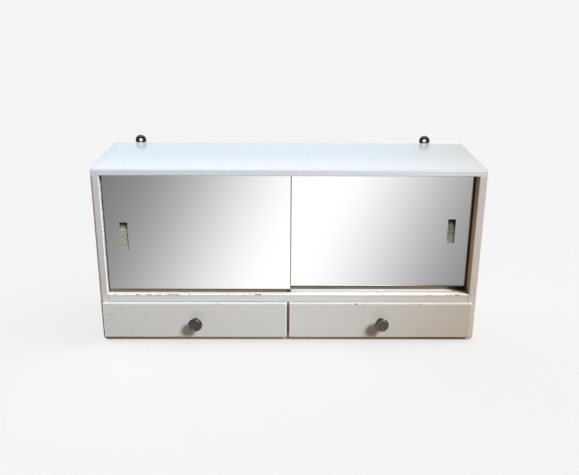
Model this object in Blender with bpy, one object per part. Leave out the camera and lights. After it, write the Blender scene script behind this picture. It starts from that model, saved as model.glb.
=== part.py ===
"""Wall-hung medicine cabinet: two sliding mirror doors in grooved tracks over two lipped drawers.

Metres, +Z up.  The origin is the centre of the case's underside.  The doors and drawers face -Y and +X is the
cabinet's right-hand side as seen by someone standing in front of it.
"""
import math

import bmesh
import bpy
from mathutils import Matrix, Vector

# ---------------------------------------------------------------------------------------------------------------------
# Driving dimensions
# ---------------------------------------------------------------------------------------------------------------------
WIDTH = 0.600               # over the two side boards
DEPTH = 0.180               # case only, front edges to back panel
HEIGHT = 0.286              # case only
SIDE_THICKNESS = 0.012
TOP_THICKNESS = 0.011
BOTTOM_THICKNESS = 0.012
SHELF_THICKNESS = 0.012     # the board that carries the doors
DIVIDER_THICKNESS = 0.012
PANEL_THICKNESS = 0.004     # hardboard back
TIER_HEIGHT = 0.080         # case underside to the top of the door shelf
TOP_CORNER_RADIUS = 0.0035  # outer top corners of the case, seen from the front
FOOT_CORNER_RADIUS = 0.007  # outer bottom corners, more worn
TOP_ROUND = 0.005           # front arris of the case's top
ARRIS = 0.0012              # every other front arris
REBATE_WIDTH = 0.005        # ledge in each side board that the back panel lies on

FIT = 0.0003                # gap between faces that touch
RUN = 0.0005                # running clearance each side of a door in its groove
SEAT = 0.0003               # clearance under what slides on a board

DOOR_BOARD = 0.006
GLASS = 0.003
DOOR_GAP_LEFT = 0.002       # closed door to the side board
DOOR_GAP_RIGHT = 0.003
DOOR_OVERLAP = 0.0078       # of one closed door behind the other
MIRROR_SETBACK = 0.007      # case front to the front mirror
DOOR_CLEARANCE = 0.0037     # back of the front door to the rear mirror
LOWER_GROOVE = 0.0035       # groove depths
UPPER_GROOVE = 0.007
DOOR_ENGAGEMENT = 0.003     # of a door's top edge in its groove
MIRROR_RISE = 0.0065        # door shelf to the mirror's lower edge
MIRROR_DROP = 0.001         # top board to the mirror's upper edge
PULL_INSET = 0.029          # outer door edge to the middle of the finger pull
PULL_WIDTH = 0.012
PULL_POCKET = 0.004         # depth of the pocket in the door board
PULL_RISE = {"left": 0.0965, "right": 0.1005}       # door shelf to the middle of the pull
PULL_HEIGHT = {"left": 0.044, "right": 0.040}

LIP_THICKNESS = 0.008       # part of a drawer front that lies over the case
LIP_RADIUS = 0.002
BLOCK_THICKNESS = 0.010     # part of a drawer front that enters the case
LIP_REVEAL_LEFT = 0.0035    # case side left bare beside each lip
LIP_REVEAL_RIGHT = 0.0068
LIP_REVEAL_LOW = 0.0085
LIP_GAP = 0.0039            # between the two lips
LIP_GAP_CENTRE = -0.0013
LIP_DROP = 0.0003           # lip's top edge below the underside of the door shelf
DRAWER_SIDE = 0.008
DRAWER_PLY = 0.003
DRAWER_GROOVE = 0.004       # depth of the groove that holds the drawer bottom
DRAWER_PLY_RISE = 0.004     # box underside to the drawer bottom
DRAWER_SLACK = 0.0008       # each side of a drawer in its opening
DRAWER_HEADROOM = 0.003
DRAWER_BACK_GAP = 0.008     # closed drawer to the back panel

KNOB_RADIUS = 0.011
KNOB_FACE_RADIUS = 0.0083
KNOB_NECK_RADIUS = 0.0042
KNOB_FOOT_RADIUS = 0.0052
KNOB_LENGTH = 0.0185
KNOB_SHIFT = {"left": 0.0017, "right": 0.0006}       # knob to the right of its front's middle
SCREW_RADIUS = 0.002        # knob screw
SCREW_HEAD_RADIUS = 0.004
SCREW_HEAD_HEIGHT = 0.0024
SCREW_GRIP = 0.007          # length inside the knob
HOLE_SLACK = 0.0003         # radial clearance of every screw and pin in its hole

HANGER_THICKNESS = 0.0015
HANGER_HEAD_RADIUS = 0.009
HANGER_HOLE_RADIUS = 0.0028
HANGER_RISE = 0.004         # case top to the middle of the hanger's head
HANGER_INSET = {"left": 0.0455, "right": 0.0653}    # case side to the hanger's middle
HANGER_FOOT_HALF = 0.0150   # half-length of the foot that is screwed down
HANGER_FOOT_RADIUS = 0.0044
HANGER_SCREW_PITCH = 0.021
WOOD_SCREW_RADIUS = 0.0014
WOOD_SCREW_HEAD = 0.0027
WOOD_SCREW_LENGTH = 0.013

PIN_RADIUS = 0.0007
PIN_HEAD_RADIUS = 0.0015
PIN_HEAD_HEIGHT = 0.0006
PIN_LENGTH = 0.012

BATTEN = 0.010              # square section of the inner shelf's supports
INNER_SHELF_RISE = 0.096    # door shelf to the top of the battens
INNER_SHELF_THICKNESS = 0.008
INNER_SHELF_GAP = 0.006     # rear door to the inner shelf's front edge

ROUND_SEGMENTS = 32
HOLE_SEGMENTS = 16
OVERSHOOT = 0.002           # how far a cutter runs past the face that it opens

# ---------------------------------------------------------------------------------------------------------------------
# Values that follow from the driving dimensions
# ---------------------------------------------------------------------------------------------------------------------
FRONT = -DEPTH / 2
BACK = DEPTH / 2
PANEL_FRONT = BACK - PANEL_THICKNESS
INNER_HALF = WIDTH / 2 - SIDE_THICKNESS
BOARD_HALF = INNER_HALF - FIT
SHELF_TOP = TIER_HEIGHT
SHELF_UNDER = TIER_HEIGHT - SHELF_THICKNESS
TOP_UNDER = HEIGHT - TOP_THICKNESS
GROOVE_WIDTH = DOOR_BOARD + 2 * RUN
TRACK_SETBACK = MIRROR_SETBACK + GLASS + FIT - RUN          # case front to the front groove
TRACK_PITCH = DOOR_BOARD + DOOR_CLEARANCE + GLASS + FIT     # front groove to rear groove
DOOR_WIDTH = (2 * INNER_HALF - DOOR_GAP_LEFT - DOOR_GAP_RIGHT + DOOR_OVERLAP) / 2
TRACK = {"left": FRONT + TRACK_SETBACK, "right": FRONT + TRACK_SETBACK + TRACK_PITCH}
DOOR_X = {
    "left": (-INNER_HALF + DOOR_GAP_LEFT, -INNER_HALF + DOOR_GAP_LEFT + DOOR_WIDTH),
    "right": (INNER_HALF - DOOR_GAP_RIGHT - DOOR_WIDTH, INNER_HALF - DOOR_GAP_RIGHT),
}
OPENING_X = {
    "left": (-INNER_HALF, -DIVIDER_THICKNESS / 2),
    "right": (DIVIDER_THICKNESS / 2, INNER_HALF),
}
LIP_X = {
    "left": (-WIDTH / 2 + LIP_REVEAL_LEFT, LIP_GAP_CENTRE - LIP_GAP / 2),
    "right": (LIP_GAP_CENTRE + LIP_GAP / 2, WIDTH / 2 - LIP_REVEAL_RIGHT),
}
HANGER_X = {
    "left": -WIDTH / 2 + HANGER_INSET["left"],
    "right": WIDTH / 2 - HANGER_INSET["right"],
}
HANGER_SCREW_Z = HEIGHT - TOP_THICKNESS / 2
HANGER_FRONT = BACK + FIT
PIN_SIDE_X = WIDTH / 2 - SIDE_THICKNESS + REBATE_WIDTH / 2

# name: (colour, roughness, metallic)
FINISHES = {
    "paint": ((0.76, 0.78, 0.76), 0.35, 0.0),
    "hardboard": ((0.26, 0.16, 0.09), 0.75, 0.0),
    "plywood": ((0.38, 0.28, 0.15), 0.65, 0.0),
    "pine": ((0.62, 0.45, 0.27), 0.70, 0.0),
    "mirror": ((0.86, 0.88, 0.88), 0.04, 1.0),
    "pewter": ((0.20, 0.20, 0.19), 0.35, 1.0),
    "brown_steel": ((0.10, 0.055, 0.04), 0.50, 0.9),
    "bright_steel": ((0.55, 0.55, 0.54), 0.35, 1.0),
}


# ---------------------------------------------------------------------------------------------------------------------
# Shape helpers
# ---------------------------------------------------------------------------------------------------------------------
def clear_scene():
    for old in list(bpy.data.objects):
        bpy.data.objects.remove(old, do_unlink=True)


def finish_material(name, finish):
    colour, roughness, metallic = FINISHES[finish]
    material = bpy.data.materials.new(name)
    material.use_nodes = True
    shader = material.node_tree.nodes["Principled BSDF"]
    shader.inputs["Base Color"].default_value = (*colour, 1.0)
    shader.inputs["Roughness"].default_value = roughness
    shader.inputs["Metallic"].default_value = metallic
    material.diffuse_color = (*colour, 1.0)
    return material


def slide_frame(name, location):
    """An empty that a sliding body hangs on; the body's joint runs through it."""
    frame = bpy.data.objects.new(name, None)
    frame.location = location
    bpy.context.collection.objects.link(frame)
    return frame


def new_piece(name, bm, location, finish, parent=None):
    """Turn a bmesh into a named, closed, outward-facing object at a world location."""
    bmesh.ops.recalc_face_normals(bm, faces=bm.faces)
    mesh = bpy.data.meshes.new(name)
    bm.to_mesh(mesh)
    bm.free()
    mesh.shade_smooth()
    mesh.set_sharp_from_angle(angle=math.radians(30))
    mesh.materials.append(finish_material(name, finish))
    piece = bpy.data.objects.new(name, mesh)
    piece.location = location
    bpy.context.collection.objects.link(piece)
    if parent is not None:
        piece.parent = parent
        piece.matrix_parent_inverse = Matrix.Translation(parent.location).inverted()
    return piece


def middle(span):
    return (span[0] + span[1]) / 2


def board(name, x, y, z, finish, parent=None, rounds=()):
    """A board that fills three spans.  Each round is (planes, radius, segments): the edges that lie on all the named
    outer planes, such as ("-y", "+z"), are rounded to that radius."""
    size = Vector((x[1] - x[0], y[1] - y[0], z[1] - z[0]))
    bm = bmesh.new()
    bmesh.ops.create_cube(bm, size=1.0, matrix=Matrix.Diagonal((*size, 1.0)))
    for planes, radius, segments in rounds:
        round_edges(bm, size / 2, planes, radius, segments)
    return new_piece(name, bm, (middle(x), middle(y), middle(z)), finish, parent)


def round_edges(bm, half, planes, radius, segments):
    def on_planes(vert):
        for plane in planes:
            axis = "xyz".index(plane[1])
            sign = -1.0 if plane[0] == "-" else 1.0
            if abs(vert.co[axis] - sign * half[axis]) > 1e-6:
                return False
        return True

    edges = [edge for edge in bm.edges if all(on_planes(vert) for vert in edge.verts)]
    edges = [edge for edge in edges if edge.calc_face_angle() > math.radians(30)]
    bmesh.ops.bevel(bm, geom=edges, offset=radius, segments=segments, profile=0.5, affect="EDGES",
                    clamp_overlap=True)


def arc(centre, radius, start, end, steps):
    """Points on an arc, angles in degrees, both ends included."""
    angles = [math.radians(start + (end - start) * step / steps) for step in range(steps + 1)]
    return [(centre[0] + radius * math.cos(a), centre[1] + radius * math.sin(a)) for a in angles]


def add_box(bm, x, y, z):
    size = (x[1] - x[0], y[1] - y[0], z[1] - z[0])
    place = Matrix.Translation((middle(x), middle(y), middle(z))) @ Matrix.Diagonal((*size, 1.0))
    bmesh.ops.create_cube(bm, size=1.0, matrix=place)


def add_prism(bm, points, sweep):
    """Sweep a closed outline of 3-D points along a vector."""
    base = bm.faces.new([bm.verts.new(point) for point in points])
    swept = bmesh.ops.extrude_face_region(bm, geom=[base])
    far = [item for item in swept["geom"] if isinstance(item, bmesh.types.BMVert)]
    bmesh.ops.translate(bm, verts=far, vec=sweep)


def add_rod(bm, x, z, y, radius_front, radius_back=None):
    """A round rod or cone along Y, between the two values of y."""
    radius_back = radius_front if radius_back is None else radius_back
    turn = Matrix.Rotation(math.radians(-90), 4, "X")
    place = Matrix.Translation((x, middle(y), z)) @ turn
    bmesh.ops.create_cone(bm, cap_ends=True, segments=HOLE_SEGMENTS, radius1=radius_front, radius2=radius_back,
                          depth=y[1] - y[0], matrix=place)


def combine(target, operation, shapes):
    """Cut shapes from a piece, or join them to it, with one Boolean.  Each shape adds itself to a bmesh in world
    coordinates."""
    bm = bmesh.new()
    for shape, *values in shapes:
        shape(bm, *values)
    bmesh.ops.recalc_face_normals(bm, faces=bm.faces)
    mesh = bpy.data.meshes.new(target.name + "_" + operation.lower())
    bm.to_mesh(mesh)
    bm.free()
    tool = bpy.data.objects.new(mesh.name, mesh)
    tool.hide_render = True
    tool.display_type = "WIRE"
    bpy.context.collection.objects.link(tool)
    if target.parent is not None:
        tool.parent = target.parent
        tool.matrix_parent_inverse = target.matrix_parent_inverse
    boolean = target.modifiers.new(operation.lower(), "BOOLEAN")
    boolean.operation = operation
    boolean.solver = "EXACT"
    boolean.object = tool


def turned(name, profile, location, finish, parent=None, segments=ROUND_SEGMENTS):
    """Spin a profile of (radius, height) points, from axis to axis, about an axis that points to the front."""
    bm = bmesh.new()
    verts = [bm.verts.new((radius, 0.0, height)) for radius, height in profile]
    edges = [bm.edges.new(pair) for pair in zip(verts, verts[1:])]
    bmesh.ops.spin(bm, geom=verts + edges, cent=(0, 0, 0), axis=(0, 0, 1), angle=math.tau,
                   steps=segments, use_merge=True)
    bmesh.ops.remove_doubles(bm, verts=bm.verts, dist=1e-6)
    bmesh.ops.transform(bm, matrix=Matrix.Rotation(math.radians(90), 4, "X"), verts=bm.verts)
    return new_piece(name, bm, location, finish, parent)


# ---------------------------------------------------------------------------------------------------------------------
# Case
# ---------------------------------------------------------------------------------------------------------------------
def top_round_shape(bm):
    """The waste that a rounding plane takes off the top's front arris, over the full width."""
    centre = (FRONT + TOP_ROUND, HEIGHT - TOP_ROUND)
    outline = arc(centre, TOP_ROUND, 90, 180, 8)
    outline += [(FRONT - OVERSHOOT, HEIGHT - TOP_ROUND), (FRONT - OVERSHOOT, HEIGHT + OVERSHOOT),
                (FRONT + TOP_ROUND, HEIGHT + OVERSHOOT)]
    left = -WIDTH / 2 - OVERSHOOT
    add_prism(bm, [(left, y, z) for y, z in outline], (WIDTH + 2 * OVERSHOOT, 0, 0))


def pin_places():
    """(x, z) of every pin that holds the back panel: down both sides, along the top and along the bottom."""
    inner = HEIGHT - TOP_THICKNESS - BOTTOM_THICKNESS
    heights = [BOTTOM_THICKNESS + inner * share for share in (0.12, 0.50, 0.88)]
    across = [WIDTH * share for share in (-0.30, 0.02, 0.28)]
    places = [(-PIN_SIDE_X, z) for z in heights] + [(PIN_SIDE_X, z) for z in heights]
    places += [(x, HANGER_SCREW_Z) for x in across] + [(x, BOTTOM_THICKNESS / 2) for x in across]
    return places


def pin_holes(x_range, z_range):
    """Hole shapes for the pins whose axes lie in a board's ranges."""
    depth = (BACK - PIN_LENGTH - HOLE_SLACK, BACK + OVERSHOOT)
    radius = PIN_RADIUS + HOLE_SLACK
    return [(add_rod, x, z, depth, radius) for x, z in pin_places()
            if x_range[0] < x < x_range[1] and z_range[0] < z < z_range[1]]


def hanger_screw_places(hand):
    return [(HANGER_X[hand] + side * HANGER_SCREW_PITCH / 2, HANGER_SCREW_Z) for side in (-1, 1)]


def hanger_screw_holes(low, high):
    radius = WOOD_SCREW_RADIUS + HOLE_SLACK
    return [(add_rod, x, z, (low, high), radius) for hand in HANGER_X for x, z in hanger_screw_places(hand)]


def case_side(hand):
    """A full-height side board with rounded outer corners and a ledge for the back panel."""
    sign = -1 if hand == "left" else 1
    outer = WIDTH / 2
    foot, head = FOOT_CORNER_RADIUS, TOP_CORNER_RADIUS
    outline = arc((outer - foot, foot), foot, -90, 0, 6)
    outline += arc((outer - head, HEIGHT - head), head, 0, 90, 6)
    outline += [(INNER_HALF, HEIGHT), (INNER_HALF, 0.0)]
    middle_x = sign * (outer + INNER_HALF) / 2
    bm = bmesh.new()
    points = [(sign * x - middle_x, -DEPTH / 2, z - HEIGHT / 2) for x, z in outline]
    add_prism(bm, points, (0, DEPTH, 0))
    round_edges(bm, Vector((SIDE_THICKNESS, DEPTH, HEIGHT)) / 2, ("-y",), ARRIS, 3)
    side = new_piece(f"case_{hand}_side", bm, (middle_x, 0, HEIGHT / 2), "paint")
    inner = sorted((sign * (INNER_HALF - OVERSHOOT), sign * (INNER_HALF + REBATE_WIDTH)))
    ledge = (add_box, inner, (PANEL_FRONT - FIT, BACK + OVERSHOOT), (-OVERSHOOT, HEIGHT + OVERSHOOT))
    span = sorted((sign * INNER_HALF, sign * outer))
    combine(side, "DIFFERENCE", [ledge, (top_round_shape,)])
    combine(side, "DIFFERENCE", pin_holes(span, (0, HEIGHT)))


def groove(hand, z):
    """A full-width door groove between two heights."""
    y = (TRACK[hand], TRACK[hand] + GROOVE_WIDTH)
    return add_box, (-INNER_HALF - OVERSHOOT, INNER_HALF + OVERSHOOT), y, z


def case_top():
    z = (TOP_UNDER, HEIGHT)
    top = board("case_top", (-BOARD_HALF, BOARD_HALF), (FRONT, PANEL_FRONT - FIT), z, "paint",
                rounds=[(("-y", "-z"), ARRIS, 3)])
    grooves = [groove(hand, (TOP_UNDER - OVERSHOOT, TOP_UNDER + UPPER_GROOVE)) for hand in TRACK]
    combine(top, "DIFFERENCE", grooves + [(top_round_shape,)])
    holes = hanger_screw_holes(BACK - WOOD_SCREW_LENGTH - HOLE_SLACK, BACK + OVERSHOOT)
    combine(top, "DIFFERENCE", holes + pin_holes((-BOARD_HALF, BOARD_HALF), z))


def case_bottom():
    z = (0.0, BOTTOM_THICKNESS)
    bottom = board("case_bottom", (-BOARD_HALF, BOARD_HALF), (FRONT, PANEL_FRONT - FIT), z, "paint",
                   rounds=[(("-y", "-z"), ARRIS, 3)])
    combine(bottom, "DIFFERENCE", pin_holes((-BOARD_HALF, BOARD_HALF), z))


def door_shelf():
    shelf = board("door_shelf", (-BOARD_HALF, BOARD_HALF), (FRONT, PANEL_FRONT - FIT), (SHELF_UNDER, SHELF_TOP),
                  "paint", rounds=[(("-y",), ARRIS, 3)])
    combine(shelf, "DIFFERENCE", [groove(hand, (SHELF_TOP - LOWER_GROOVE, SHELF_TOP + OVERSHOOT)) for hand in TRACK])


def drawer_divider():
    half = DIVIDER_THICKNESS / 2
    board("drawer_divider", (-half, half), (FRONT, PANEL_FRONT - FIT), (BOTTOM_THICKNESS + FIT, SHELF_UNDER - FIT),
          "paint")


def back_panel():
    half = INNER_HALF + REBATE_WIDTH - FIT
    panel = board("back_panel", (-half, half), (PANEL_FRONT, BACK), (0.0, HEIGHT), "hardboard")
    through = (PANEL_FRONT - OVERSHOOT, BACK + OVERSHOOT)
    combine(panel, "DIFFERENCE", hanger_screw_holes(*through) + pin_holes((-half, half), (0, HEIGHT)))


def panel_pins():
    """Flat-headed pins, driven from behind; their heads stand on the panel."""
    for number, (x, z) in enumerate(pin_places(), 1):
        profile = [(0, PIN_LENGTH), (PIN_RADIUS * 0.3, PIN_LENGTH), (PIN_RADIUS, PIN_LENGTH - 2 * PIN_RADIUS),
                   (PIN_RADIUS, -FIT), (PIN_HEAD_RADIUS, -FIT), (PIN_HEAD_RADIUS, -FIT - PIN_HEAD_HEIGHT),
                   (0, -FIT - PIN_HEAD_HEIGHT)]
        turned(f"panel_pin_{number:02d}", profile, (x, BACK, z), "bright_steel", segments=HOLE_SEGMENTS)


def inner_shelf():
    """A loose shelf on two battens, behind the doors."""
    front = TRACK["right"] + GROOVE_WIDTH + INNER_SHELF_GAP
    rear = PANEL_FRONT - FIT
    low = SHELF_TOP + INNER_SHELF_RISE
    half = INNER_HALF - RUN
    board("inner_shelf", (-half, half), (front, rear), (low + SEAT, low + SEAT + INNER_SHELF_THICKNESS), "paint",
          rounds=[(("-y",), ARRIS, 2)])
    for hand, sign in (("left", -1), ("right", 1)):
        x = sorted((sign * BOARD_HALF, sign * (BOARD_HALF - BATTEN)))
        board(f"shelf_batten_{hand}", x, (front + BATTEN, rear), (low - BATTEN, low), "paint")


# ---------------------------------------------------------------------------------------------------------------------
# Hangers
# ---------------------------------------------------------------------------------------------------------------------
def hanger_outline():
    """A round head standing on a round-ended foot, about the head's centre, as (x, z)."""
    foot_z = HANGER_SCREW_Z - (HEIGHT + HANGER_RISE)
    shoulder = foot_z + HANGER_FOOT_RADIUS
    open_angle = math.degrees(math.asin(shoulder / HANGER_HEAD_RADIUS))
    end = HANGER_FOOT_HALF - HANGER_FOOT_RADIUS
    outline = arc((0, 0), HANGER_HEAD_RADIUS, open_angle, 180 - open_angle, 28)
    outline += arc((-end, foot_z), HANGER_FOOT_RADIUS, 90, 270, 10)
    outline += arc((end, foot_z), HANGER_FOOT_RADIUS, -90, 90, 10)
    return outline


def hanger(hand):
    x = HANGER_X[hand]
    z = HEIGHT + HANGER_RISE
    rear = HANGER_FRONT + HANGER_THICKNESS
    bm = bmesh.new()
    half = HANGER_THICKNESS / 2
    add_prism(bm, [(u, -half, v) for u, v in hanger_outline()], (0, HANGER_THICKNESS, 0))
    plate = new_piece(f"hanger_plate_{hand}", bm, (x, HANGER_FRONT + half, z), "brown_steel")
    through = (HANGER_FRONT - OVERSHOOT, rear + OVERSHOOT)
    holes = [(add_rod, x, z, through, HANGER_HOLE_RADIUS)]
    slope = WOOD_SCREW_HEAD - WOOD_SCREW_RADIUS     # countersunk at 45 degrees
    for screw_x, screw_z in hanger_screw_places(hand):
        holes.append((add_rod, screw_x, screw_z, through, WOOD_SCREW_RADIUS + HOLE_SLACK))
    combine(plate, "DIFFERENCE", holes)
    sinks = []
    for screw_x, screw_z in hanger_screw_places(hand):
        sinks.append((add_rod, screw_x, screw_z, (rear - slope, rear + OVERSHOOT), WOOD_SCREW_RADIUS + HOLE_SLACK,
                      WOOD_SCREW_HEAD + HOLE_SLACK + OVERSHOOT))
    combine(plate, "DIFFERENCE", sinks)
    profile = [(0, WOOD_SCREW_LENGTH), (WOOD_SCREW_RADIUS, WOOD_SCREW_LENGTH - 3 * WOOD_SCREW_RADIUS),
               (WOOD_SCREW_RADIUS, -HANGER_THICKNESS + slope - FIT), (WOOD_SCREW_HEAD, -HANGER_THICKNESS - FIT),
               (0, -HANGER_THICKNESS - FIT)]
    for number, (screw_x, screw_z) in enumerate(hanger_screw_places(hand), 1):
        turned(f"hanger_screw_{hand}_{number}", profile, (screw_x, BACK, screw_z), "brown_steel",
               segments=HOLE_SEGMENTS)


# ---------------------------------------------------------------------------------------------------------------------
# Sliding doors
# ---------------------------------------------------------------------------------------------------------------------
def door(hand):
    """A board that runs in two grooves, faced with a mirror; a finger pull goes through the mirror into the board."""
    x = DOOR_X[hand]
    low = SHELF_TOP - LOWER_GROOVE + SEAT
    high = TOP_UNDER + DOOR_ENGAGEMENT
    board_y = (TRACK[hand] + RUN, TRACK[hand] + RUN + DOOR_BOARD)
    glass_y = (board_y[0] - FIT - GLASS, board_y[0] - FIT)
    glass_z = (SHELF_TOP + MIRROR_RISE, TOP_UNDER - MIRROR_DROP)
    slide = slide_frame(f"{hand}_door_slide", (middle(x), middle(board_y), low))
    leaf = board(f"{hand}_door_board", x, board_y, (low, high), "plywood", slide)
    mirror = board(f"{hand}_door_mirror", x, glass_y, glass_z, "mirror", slide)
    pull_x = x[0] + PULL_INSET if hand == "left" else x[1] - PULL_INSET
    pull_z = SHELF_TOP + PULL_RISE[hand]
    across = (pull_x - PULL_WIDTH / 2, pull_x + PULL_WIDTH / 2)
    upright = (pull_z - PULL_HEIGHT[hand] / 2, pull_z + PULL_HEIGHT[hand] / 2)
    combine(mirror, "DIFFERENCE", [(add_box, across, (glass_y[0] - OVERSHOOT, glass_y[1] + OVERSHOOT), upright)])
    combine(leaf, "DIFFERENCE", [(add_box, across, (board_y[0] - OVERSHOOT, board_y[0] + PULL_POCKET), upright)])


# ---------------------------------------------------------------------------------------------------------------------
# Drawers
# ---------------------------------------------------------------------------------------------------------------------
def knob_profile():
    """Foot, waisted neck, then a head with a full rim, a rounded shoulder and a slightly dished face."""
    shoulder = KNOB_RADIUS - KNOB_FACE_RADIUS
    shoulder_height = KNOB_LENGTH - shoulder
    rim_height = shoulder_height - 0.0010
    neck_top = rim_height - 0.0032
    waist = KNOB_FOOT_RADIUS - KNOB_NECK_RADIUS
    hole = SCREW_RADIUS + HOLE_SLACK
    profile = [(0, KNOB_LENGTH - 0.0005), (KNOB_FACE_RADIUS * 0.6, KNOB_LENGTH - 0.0003)]
    profile += arc((KNOB_FACE_RADIUS, shoulder_height), shoulder, 90, 0, 6)
    profile += [(KNOB_RADIUS, rim_height), (KNOB_RADIUS - 0.0006, rim_height - 0.0006)]
    profile += [(KNOB_NECK_RADIUS + 0.0015, neck_top + 0.0006), (KNOB_NECK_RADIUS, neck_top - 0.0010)]
    profile += arc((KNOB_FOOT_RADIUS, 0.0012 + waist), waist, 180, 270, 4)
    profile += [(KNOB_FOOT_RADIUS, 0.0), (hole, 0.0), (hole, SCREW_GRIP + HOLE_SLACK), (0, SCREW_GRIP + HOLE_SLACK)]
    return profile


def knob(hand, x, z, slide):
    """A turned knob and the machine screw that holds it from inside the drawer."""
    face = FRONT - FIT - LIP_THICKNESS
    turned(f"{hand}_drawer_knob", knob_profile(), (x, face - FIT, z), "pewter", slide)
    inside = FRONT + BLOCK_THICKNESS + FIT
    reach = inside - (face - FIT) + SCREW_GRIP
    profile = [(0, reach), (SCREW_RADIUS, reach), (SCREW_RADIUS, 0), (SCREW_HEAD_RADIUS, 0),
               (SCREW_HEAD_RADIUS, -SCREW_HEAD_HEIGHT * 0.5), (SCREW_HEAD_RADIUS * 0.75, -SCREW_HEAD_HEIGHT),
               (0, -SCREW_HEAD_HEIGHT)]
    turned(f"{hand}_drawer_knob_screw", profile, (x, inside, z), "bright_steel", slide)


def drawer(hand):
    """A lipped front, a four-sided box and a plywood bottom that is held in grooves."""
    box_x = (OPENING_X[hand][0] + DRAWER_SLACK, OPENING_X[hand][1] - DRAWER_SLACK)
    inner_x = (box_x[0] + DRAWER_SIDE, box_x[1] - DRAWER_SIDE)
    low = BOTTOM_THICKNESS + SEAT
    high = SHELF_UNDER - DRAWER_HEADROOM
    rear = PANEL_FRONT - DRAWER_BACK_GAP
    ply_z = (low + DRAWER_PLY_RISE, low + DRAWER_PLY_RISE + DRAWER_PLY)
    slot_z = (ply_z[0] - FIT, ply_z[1] + FIT)
    lip_x = LIP_X[hand]
    slide = slide_frame(f"{hand}_drawer_slide", (middle(box_x), FRONT, low))

    lip_y = (FRONT - FIT - LIP_THICKNESS, FRONT - FIT)
    lip_z = (LIP_REVEAL_LOW, SHELF_UNDER - LIP_DROP)
    corners = [((side_x, side_z), LIP_RADIUS, 3) for side_x in ("-x", "+x") for side_z in ("-z", "+z")]
    front = board(f"{hand}_drawer_front", lip_x, lip_y, lip_z, "paint", slide, rounds=corners + [(("-y",), ARRIS, 3)])
    block_x = (inner_x[0] + FIT, inner_x[1] - FIT)
    block_y = (FRONT - FIT - LIP_THICKNESS / 2, FRONT + BLOCK_THICKNESS)
    combine(front, "UNION", [(add_box, block_x, block_y, (low, high))])
    slot_y = (block_y[1] - DRAWER_GROOVE, block_y[1] + OVERSHOOT)
    slot_x = (block_x[0] - OVERSHOOT, block_x[1] + OVERSHOOT)
    knob_x, knob_z = middle(lip_x) + KNOB_SHIFT[hand], middle(lip_z)
    hole = (add_rod, knob_x, knob_z, (lip_y[0] - OVERSHOOT, block_y[1] + OVERSHOOT), SCREW_RADIUS + HOLE_SLACK)
    combine(front, "DIFFERENCE", [(add_box, slot_x, slot_y, slot_z), hole])

    side_y = (FRONT + FIT, rear)
    for side, edge in (("left", 0), ("right", 1)):
        inward = 1 if side == "left" else -1
        x = sorted((box_x[edge], inner_x[edge]))
        piece = board(f"{hand}_drawer_{side}_side", x, side_y, (low, high), "pine", slide)
        deep = sorted((inner_x[edge] - inward * DRAWER_GROOVE, inner_x[edge] + inward * OVERSHOOT))
        long = (side_y[0] - OVERSHOOT, side_y[1] + OVERSHOOT)
        combine(piece, "DIFFERENCE", [(add_box, deep, long, slot_z)])

    board(f"{hand}_drawer_back", (inner_x[0] + FIT, inner_x[1] - FIT), (rear - DRAWER_SIDE, rear),
          (ply_z[1] + FIT, high), "pine", slide)
    ply_x = (inner_x[0] - DRAWER_GROOVE + FIT, inner_x[1] + DRAWER_GROOVE - FIT)
    board(f"{hand}_drawer_bottom", ply_x, (slot_y[0] + FIT, rear), ply_z, "plywood", slide)
    knob(hand, knob_x, knob_z, slide)


def build():
    clear_scene()
    for hand in ("left", "right"):
        case_side(hand)
    case_top()
    case_bottom()
    door_shelf()
    drawer_divider()
    back_panel()
    panel_pins()
    inner_shelf()
    for hand in ("left", "right"):
        hanger(hand)
        door(hand)
        drawer(hand)


build()
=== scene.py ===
# %% [markdown]
# # A painted bathroom cabinet with two sliding mirrors
# The cabinet hangs on two small plates.  Two mirrored doors slide past each other in grooves, and two
# lipped drawers sit below them.  Its boards come ready made from the frame, in metres, with the middle of
# the underside at the origin and the doors facing -Y.  This notebook gives every board its finish, and
# makes the parts whose shape is finer than the frame's: mirrors, pull recesses, knobs, hangers and
# screws.

# %% Load the frame
import math

import bmesh
import bpy
import numpy as np
from mathutils import Matrix, Vector


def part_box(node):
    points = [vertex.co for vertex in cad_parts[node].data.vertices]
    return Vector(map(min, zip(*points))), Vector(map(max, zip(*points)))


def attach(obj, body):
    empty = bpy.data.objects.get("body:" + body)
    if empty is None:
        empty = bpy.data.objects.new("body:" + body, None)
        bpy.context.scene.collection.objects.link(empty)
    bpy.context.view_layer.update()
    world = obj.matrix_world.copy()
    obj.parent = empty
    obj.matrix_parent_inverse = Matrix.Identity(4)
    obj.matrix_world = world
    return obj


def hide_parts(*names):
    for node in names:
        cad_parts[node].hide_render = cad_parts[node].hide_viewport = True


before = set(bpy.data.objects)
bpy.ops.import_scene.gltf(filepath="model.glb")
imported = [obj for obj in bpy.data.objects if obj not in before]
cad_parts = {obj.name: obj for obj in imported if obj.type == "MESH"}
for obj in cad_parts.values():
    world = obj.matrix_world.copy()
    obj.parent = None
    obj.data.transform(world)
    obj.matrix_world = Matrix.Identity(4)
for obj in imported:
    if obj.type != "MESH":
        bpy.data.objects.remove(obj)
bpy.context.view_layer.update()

# %% [markdown]
# ## Camera
# The cabinet is seen from the front and a little above, from about a metre away.  A camera could be aimed
# with a tracking constraint, but the tilt and the slight roll are easier to keep as three angles, and the
# matrix that they make is set once.

# %% Place the camera
CAMERA_PLACE = Vector((-0.0120, -1.1869, 0.5723))
CAMERA_PITCH, CAMERA_YAW, CAMERA_ROLL = (math.radians(a) for a in (19.82, 0.65, 0.356))
CAMERA_LENS = 46.73     # mm, on a sensor 36 mm wide


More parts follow.
